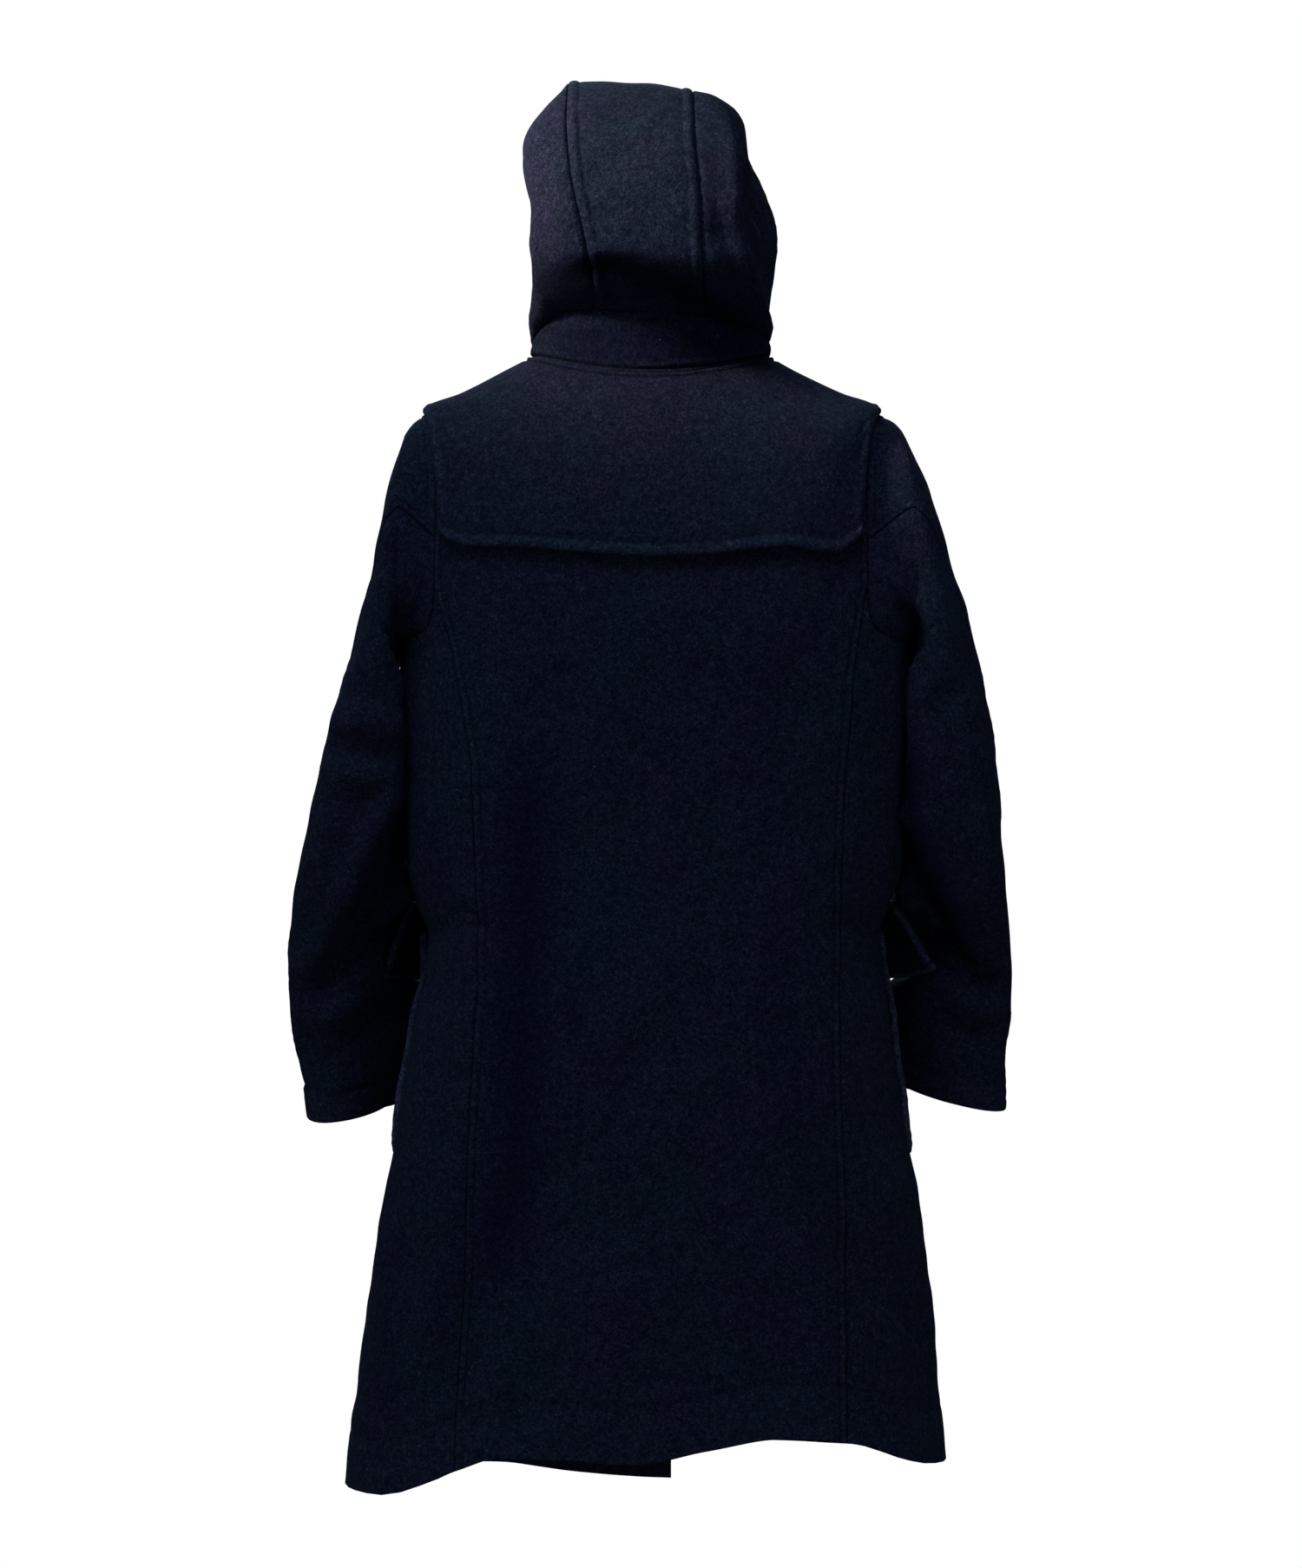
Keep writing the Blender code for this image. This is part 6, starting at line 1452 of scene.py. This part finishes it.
def build_hood_pieces():
    ths = offsets(2 * STAND_END, np.array([0, 0.4, 1.0, 2.0, 3.5, 6.0]), np.array([0, 0.4, 1.0, 2.0, 3.5, 6.0]), 120) - STAND_END
    fs = np.linspace(0, 1, 49)
    p = np.array([stand_point(ths, f) for f in fs])
    n = np.array([unit(level(ths) * 1.0) for _ in fs])
    stand = Piece(p, n)
    stand.both += 0.0006 * waves(p, 0.08, 81)
    stand.out += -0.0017 * np.exp(-((stand.t - 0.0050) / 0.0011) ** 2)
    stand.out += 0.0008 * np.exp(-((stand.t - 0.0025) / 0.0012) ** 2) + 0.0006 * np.exp(-((stand.t - 0.0080) / 0.0020) ** 2)
    stand.lip = 0.004
    obj = stand.build("hood_stand_cloth", l="free", r="free", t="seam", b="seam")
    finish_cloth(obj, ["hood_stand"], WOOL_MAT, stand, held="draped")

    us = offsets(2.0, EDGE_STEPS / STRIP_HALF, EDGE_STEPS / STRIP_HALF, 14) - 1.0
    rr = np.linspace(0, 1, 1200)
    line = strip_point(np.zeros_like(rr), rr)
    run = np.concatenate([[0], np.cumsum(np.linalg.norm(np.diff(line, axis=0), axis=1))])
    at = offsets(run[-1], FREE_STEPS, EDGE_STEPS[[0, 2, 4, 6, 8]], run[-1] / 0.0045)
    rs = np.interp(at, run, rr)
    grid_u, grid_r = np.meshgrid(us, rs)
    p = strip_point(grid_u, grid_r)
    n = normals_of(strip_point, grid_u, np.minimum(grid_r, 0.995), step=0.02)
    centre = Piece(rest_on_stand(p, -1, Piece(p, n).b), n)
    add_creases(centre, HOOD_CREASES, 1)
    centre.both += (0.0010 * waves(p, 0.07, 83) + 0.0004 * waves(p, 0.03, 84)) * smooth(centre.b / 0.02)
    for d, seed in ((centre.l, 1.0), (centre.r, 2.0)):
        centre.out += stitch(d, centre.t, at=0.0098, depth=0.0006, seed=seed) + 0.0005 * np.exp(-((d - 0.005) / 0.003) ** 2)
    centre.out += stitch(centre.t, centre.l, at=0.022, depth=0.0006)
    # weaker painted shade and highlight on the hood
    centre.press = 0.3
    obj = centre.build("hood_centre_cloth", t="free", b="seam")
    finish_cloth(obj, ["hood_centre"], WOOL_MAT, centre, held="draped")

    for side, name in ((1, "left"), (-1, "right")):
        ts = offsets(1.0, FREE_STEPS / 0.26, EDGE_STEPS / 0.26, 42)
        ss = offsets(1.0, EDGE_STEPS[[0, 2, 4, 6, 8, 12, 14]] / 0.24, EDGE_STEPS / 0.24, 40)
        surface = lambda a, b, side=side: side_point(side, a, b)
        grid_t, grid_s = np.meshgrid(ts, ss)
        p = surface(grid_t, grid_s)
        n = normals_of(surface, np.clip(grid_t, 0.004, 0.996), np.clip(grid_s, 0.004, 0.996), step=0.02)
        piece = Piece(rest_on_stand(p, 0, Piece(p, n).t), n)
        add_creases(piece, HOOD_CREASES, 1)
        q = piece.p[..., [1, 2]]
        for path, width, height, kind, skew in HOOD_SIDE_CREASES:
            piece.both += crease(q, path, width, height / 1000.0, kind, skew) * smooth((np.abs(piece.n[..., 0]) - 0.3) / 0.3)
        piece.both += (0.0010 * waves(p, 0.07, 85 + side) + 0.0004 * waves(p, 0.03, 88)) * smooth(piece.t / 0.02)
        piece.out += stitch(piece.l, piece.t, at=0.022, depth=0.0006)
        # weaker painted shade and highlight on the hood
        piece.press = 0.3
        obj = piece.build("hood_%s_cloth" % name, l="free", r="seam", t="seam", b="seam")
        finish_cloth(obj, ["hood_" + name], WOOL_MAT, piece, held="draped")


# ---------------------------------------------------------------- pockets and flaps
def ring_at(theta, z):
    ss = np.linspace(3, 23, 401)
    return float(np.interp(-z, -body(theta, ss)[:, 2], ss))


def front_spot(theta, z):
    s = ring_at(theta, z)
    p, n = body(theta, s), body_normal(theta, s)
    return p, unit(np.array([n[0], n[1], 0.0]))


def build_pockets():
    for side, name in ((1, "left"), (-1, "right")):
        mid, half = (POCKET["front"] + POCKET["rear"]) / 2, (POCKET["front"] - POCKET["rear"]) / 2
        corner = 0.028
        high = POCKET["top"] - POCKET["bottom"]
        zs = POCKET["bottom"] + offsets(high, FREE_STEPS, FREE_STEPS, 38)[::-1]
        fr = offsets(2.0, FREE_STEPS / 0.0825, FREE_STEPS / 0.0825, 34) - 1.0
        p, n = [], []
        for z in zs:
            up = min(z - POCKET["bottom"], corner)
            cut_in = corner - math.sqrt(max(corner ** 2 - (corner - up) ** 2, 0.0))
            row_p, row_n = [], []
            for f in fr:
                hit, out = front_spot(side * (mid + f * half * (1 - 2 * cut_in / 0.165)), z)
                row_p.append(hit + out * (0.0022 + DOUBLE + 0.0016 * (1 - f * f)))
                row_n.append(out)
            p.append(row_p)
            n.append(row_n)
        piece = Piece(np.array(p), np.array(n))
        piece.both += 0.0007 * waves(piece.p, 0.05, 91 + side)
        for d, lengthwise in ((piece.l, piece.t), (piece.r, piece.t), (piece.b, piece.l)):
            piece.out += stitch(d, lengthwise, at=0.0065, depth=0.0011, pitch=0.011, seed=1.0)
        piece.out += stitch(piece.t, piece.l, at=0.022, depth=0.0008)
        # painted highlight along the pocket's edges
        piece.edge_highlight = 1.9
        obj = piece.build("pocket_%s_cloth" % name, "free", "free", "free", "free", wall=DOUBLE, round_free=0.0029)
        finish_cloth(obj, ["pocket_" + name], WOOL_MAT, piece)

        rear, front = FLAP_SWING[name]
        fs = offsets(1.0, FREE_STEPS / 0.165, FREE_STEPS / 0.165, 34)
        ds = offsets(FLAP_LENGTH, FREE_STEPS[[0, 2, 4, 6, 8]], FREE_STEPS, 14)
        spots = [front_spot(side * (POCKET["rear"] - 0.6 + (POCKET["front"] - POCKET["rear"] + 1.6) * f), FLAP_TOP) for f in fs]
        p, n = [], []
        for d in ds:
            row_p, row_n = [], []
            for f, (hit, out) in zip(fs, spots):
                bend = 10.0 * (0.5 - d / FLAP_LENGTH)
                a = math.radians(front + (rear - front) * (1 - f) ** 5)
                down = out * math.sin(a) - np.array([0, 0, math.cos(a)])
                away = out * math.cos(a) + np.array([0, 0, math.sin(a)])
                row_p.append(hit + out * 0.0030 + down * d + away * (DOUBLE - 0.0010 + 0.0012 * math.sin(math.pi * d / FLAP_LENGTH)))
                row_n.append(away)
            p.append(row_p)
            n.append(row_n)
        piece = Piece(np.array(p), np.array(n))
        piece.both += 0.0005 * waves(piece.p, 0.04, 95 + side)
        for d, lengthwise in ((piece.l, piece.t), (piece.r, piece.t), (piece.b, piece.l)):
            piece.out += stitch(d, lengthwise, at=0.0065, depth=0.0010, pitch=0.011, seed=2.0)
        # painted highlight along the flap's edges
        piece.edge_highlight = 2.0
        obj = piece.build("pocket_flap_%s_cloth" % name, "free", "free", "free", "free", wall=DOUBLE - 0.001, round_free=0.0024)
        finish_cloth(obj, ["pocket_flap_" + name], WOOL_MAT, piece)


# ---------------------------------------------------------------- toggles, cords and patches
def nearest_y(x, z, over):
    """Front face of the right (over) or left front at x, z."""
    ths = np.linspace(120.0, 215.0, 381)
    side = -1 if over else 1
    best = None
    ang = side * ths
    xs = body(ang, 14.0)[:, 0]
    for _ in range(3):
        s = ring_at(180.0, z)
        line = body(ang, s)
        order = np.argsort(line[:, 0])
        th = float(np.interp(x, line[order, 0], ang[order]))
        s = ring_at(th, z)
        p, n = body(th, s), body_normal(th, s)
        best = p + (n * over_lift(p[0]) if over else 0)
    return float(best[1])


def build_fastenings():
    leather = simple_material("patch_leather", (0.018, 0.011, 0.008), (0.045, 0.027, 0.018), 420.0, 0.52, 0.5, 0.0004, spec=0.35)
    horn = simple_material("toggle_horn", (0.045, 0.020, 0.010), (0.20, 0.105, 0.052), 60.0, 0.26, 0.15, 0.0003, spec=0.5, coat=0.35, stretch=(0.25, 1.6, 1.6))
    cord = simple_material("fastening_cord", (0.010, 0.009, 0.011), (0.034, 0.030, 0.032), 900.0, 0.85, 0.9, 0.0005, spec=0.2, stretch=(1, 1, 1))
    for i in (1, 2, 3, 4):
        for side in ("left", "right"):
            lo, hi = (np.array(v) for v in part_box("patch_%s_%d" % (side, i)))
            cx, cz = (lo[0] + hi[0]) / 2, (lo[2] + hi[2]) / 2
            w, h = (hi[0] - lo[0]) / 2, (hi[2] - lo[2]) / 2
            fs = offsets(2.0, np.array([0, 0.02, 0.05, 0.09, 0.15, 0.2, 0.25, 0.3]), np.array([0, 0.02, 0.05, 0.09, 0.15, 0.2, 0.25, 0.3]), 12) - 1
            p = np.zeros((len(fs), len(fs), 3))
            gx, gz = np.meshgrid(np.linspace(-1, 1, 4), np.linspace(-1, 1, 4))
            terms = lambda a, b: np.stack([np.ones_like(a), a, b, a * a, a * b, b * b, a * a * a], axis=-1)
            seen = np.array([nearest_y(cx + a * w, cz + b * h, side == "right") for a, b in zip(gx.ravel(), gz.ravel())])
            fit = np.linalg.lstsq(terms(gx.ravel(), gz.ravel()), seen, rcond=None)[0]
            for r, fz in enumerate(fs):
                for c, fx in enumerate(fs):
                    px = fx * w * math.sqrt(max(1 - 0.34 * fz ** 8, 0.2)) * (1 - 0.05 * (1 - abs(fz)))
                    pz = fz * h * math.sqrt(max(1 - 0.22 * fx ** 8, 0.2))
                    y = float(terms(np.array(px / w), np.array(pz / h)) @ fit)
                    p[r, c] = (cx + px, y - 0.0040, cz + pz)
            n = np.zeros_like(p)
            n[..., 1] = -1
            piece = Piece(p, n)
            d = np.minimum(np.minimum(piece.l, piece.r), np.minimum(piece.t, piece.b))
            runs = np.where(np.minimum(piece.l, piece.r) < np.minimum(piece.t, piece.b), piece.t, piece.l)
            piece.out += -0.0005 * np.exp(-((d - 0.0032) / 0.0007) ** 2) * (0.6 + 0.4 * np.cos(runs * 2 * math.pi / 0.003))
            piece.build("patch_%s_%d_leather" % (side, i), "free", "free", "free", "free", wall=0.0020, round_free=0.0009)
            finish_object(piece.make(), ["patch_%s_%d" % (side, i)], leather)

        lo, hi = (np.array(v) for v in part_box("toggle_%d" % i))
        centre = (lo + hi) / 2
        profile = [(0.0, -0.5), (0.22, -0.498), (0.42, -0.485), (0.60, -0.462), (0.76, -0.425), (0.88, -0.375), (0.96, -0.31), (1.0, -0.235),
                   (0.995, -0.17), (0.95, -0.135), (0.84, -0.115), (0.74, -0.10), (0.69, -0.07), (0.68, 0.0)]
        profile = profile + [(r, -a) for r, a in reversed(profile[:-1])]
        steps = 40
        verts = []
        for r, a in profile:
            for k in range(steps):
                q = 2 * math.pi * k / steps
                wob = 1 + 0.02 * math.sin(3 * q + i)
                verts.append((centre[0] + a * TOGGLE_LENGTH, centre[1] + r * TOGGLE_RADIUS * wob * math.cos(q), centre[2] + r * TOGGLE_RADIUS * wob * math.sin(q)))
        faces = []
        for a in range(len(profile) - 1):
            for k in range(steps):
                b = (k + 1) % steps
                faces.append((a * steps + k, a * steps + b, (a + 1) * steps + b, (a + 1) * steps + k))
        mesh = bpy.data.meshes.new("toggle_%d_turned" % i)
        mesh.from_pydata(verts, [], faces)
        bm = bmesh.new()
        bm.from_mesh(mesh)
        bmesh.ops.remove_doubles(bm, verts=bm.verts, dist=1e-6)
        bmesh.ops.recalc_face_normals(bm, faces=bm.faces)
        bm.to_mesh(mesh)
        bm.free()
        mesh.shade_smooth()
        obj = bpy.data.objects.new("toggle_%d_turned" % i, mesh)
        bpy.context.scene.collection.objects.link(obj)
        obj.data.materials.append(horn)
        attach(obj, "root")
        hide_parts("toggle_%d" % i)
        for kind in ("loop", "tie"):
            frame_obj = bpy.data.objects.get("%s_%d" % (kind, i))
            if frame_obj is not None:
                frame_obj.data.materials.clear()
                frame_obj.data.materials.append(cord)


# ---------------------------------------------------------------- stage, camera and light
def build_stage():
    floor_mesh = bpy.data.meshes.new("floor")
    floor_mesh.from_pydata([(-60, -60, -1.06), (60, -60, -1.06), (60, 60, -1.06), (-60, 60, -1.06)], [], [(0, 1, 2, 3)])
    floor = bpy.data.objects.new("floor", floor_mesh)
    bpy.context.scene.collection.objects.link(floor)
    mat = bpy.data.materials.new("floor")
    mat.use_nodes = True
    t = mat.node_tree
    t.nodes.clear()
    out = t.nodes.new("ShaderNodeOutputMaterial")
    emit = t.nodes.new("ShaderNodeEmission")
    emit.inputs["Color"].default_value = (1, 1, 1, 1)
    emit.inputs["Strength"].default_value = 1.0
    t.links.new(emit.outputs["Emission"], out.inputs["Surface"])
    floor_mesh.materials.append(mat)
    floor.visible_diffuse = False
    floor.visible_glossy = False
    floor.visible_shadow = False

    world = bpy.data.worlds.new("studio")
    bpy.context.scene.world = world
    world.use_nodes = True
    t = world.node_tree
    t.nodes.clear()
    out = t.nodes.new("ShaderNodeOutputWorld")
    mixer = t.nodes.new("ShaderNodeMixShader")
    path = t.nodes.new("ShaderNodeLightPath")
    dim = t.nodes.new("ShaderNodeBackground")
    dim.inputs["Color"].default_value = (0.50, 0.66, 1.0, 1)
    dim.inputs["Strength"].default_value = AMBIENT
    white = t.nodes.new("ShaderNodeBackground")
    white.inputs["Color"].default_value = (1, 1, 1, 1)
    white.inputs["Strength"].default_value = 1.0
    t.links.new(path.outputs["Is Camera Ray"], mixer.inputs["Fac"])
    t.links.new(dim.outputs[0], mixer.inputs[1])
    t.links.new(white.outputs[0], mixer.inputs[2])
    t.links.new(mixer.outputs[0], out.inputs["Surface"])

    from mathutils import Vector
    for name, place, aim, size, power, colour in LIGHTS:
        data = bpy.data.lights.new(name, "AREA")
        data.shape = "DISK"
        data.size = size
        data.energy = power
        data.color = colour
        lamp = bpy.data.objects.new(name, data)
        lamp.location = place
        lamp.rotation_euler = (Vector(aim) - Vector(place)).to_track_quat("-Z", "Y").to_euler()
        lamp.visible_camera = False
        bpy.context.scene.collection.objects.link(lamp)

    for name, place, aim, angle, blend, size, power, colour in SPOTS:
        data = bpy.data.lights.new(name, "SPOT")
        data.spot_size = math.radians(angle)
        data.spot_blend = blend
        data.shadow_soft_size = size
        data.energy = power
        data.color = colour
        lamp = bpy.data.objects.new(name, data)
        lamp.location = place
        lamp.rotation_euler = (Vector(aim) - Vector(place)).to_track_quat("-Z", "Y").to_euler()
        bpy.context.scene.collection.objects.link(lamp)

    cam = bpy.data.cameras.new("camera")
    eye = bpy.data.objects.new("camera", cam)
    eye.location = tuple(EYE)
    eye.rotation_euler = (math.radians(90), 0, math.radians(180))
    cam.sensor_fit = "VERTICAL"
    cam.angle = 2 * math.atan(903.0 / K_PHOTO)
    cam.clip_start, cam.clip_end = 0.05, 300.0
    bpy.context.scene.collection.objects.link(eye)
    bpy.context.scene.camera = eye
    bpy.context.scene.view_settings.view_transform = "Standard"
    bpy.context.scene.view_settings.look = "None"


AMBIENT = 0.075
LIGHTS = [
    ("sky", (0.5, 1.7, 2.3), (0.0, 0.0, -0.4), 1.5, 24.0, (0.47, 0.66, 1.0)),
    ("side", (2.4, 1.4, 0.2), (0.0, 0.0, -0.5), 1.6, 5.5, (0.55, 0.70, 1.0)),
    ("low", (-1.7, 2.3, -0.9), (-0.05, 0.0, -0.65), 1.4, 4.0, (0.55, 0.70, 1.0)),
    ("front", (0.3, -2.6, 1.3), (0.0, 0.0, -0.4), 2.0, 40.0, (0.60, 0.74, 1.0)),
]
SPOTS = [
    ("hood", (0.85, 0.50, 0.50), (0.02, 0.05, 0.13), 25.0, 0.9, 0.12, 56.0, (1.0, 0.98, 0.96)),
]

build_stage()
build_panels()
build_yoke_piece()
sleeve_pieces(1, "left")
sleeve_pieces(-1, "right")
build_hood_pieces()
build_pockets()
build_fastenings()
build_queue()
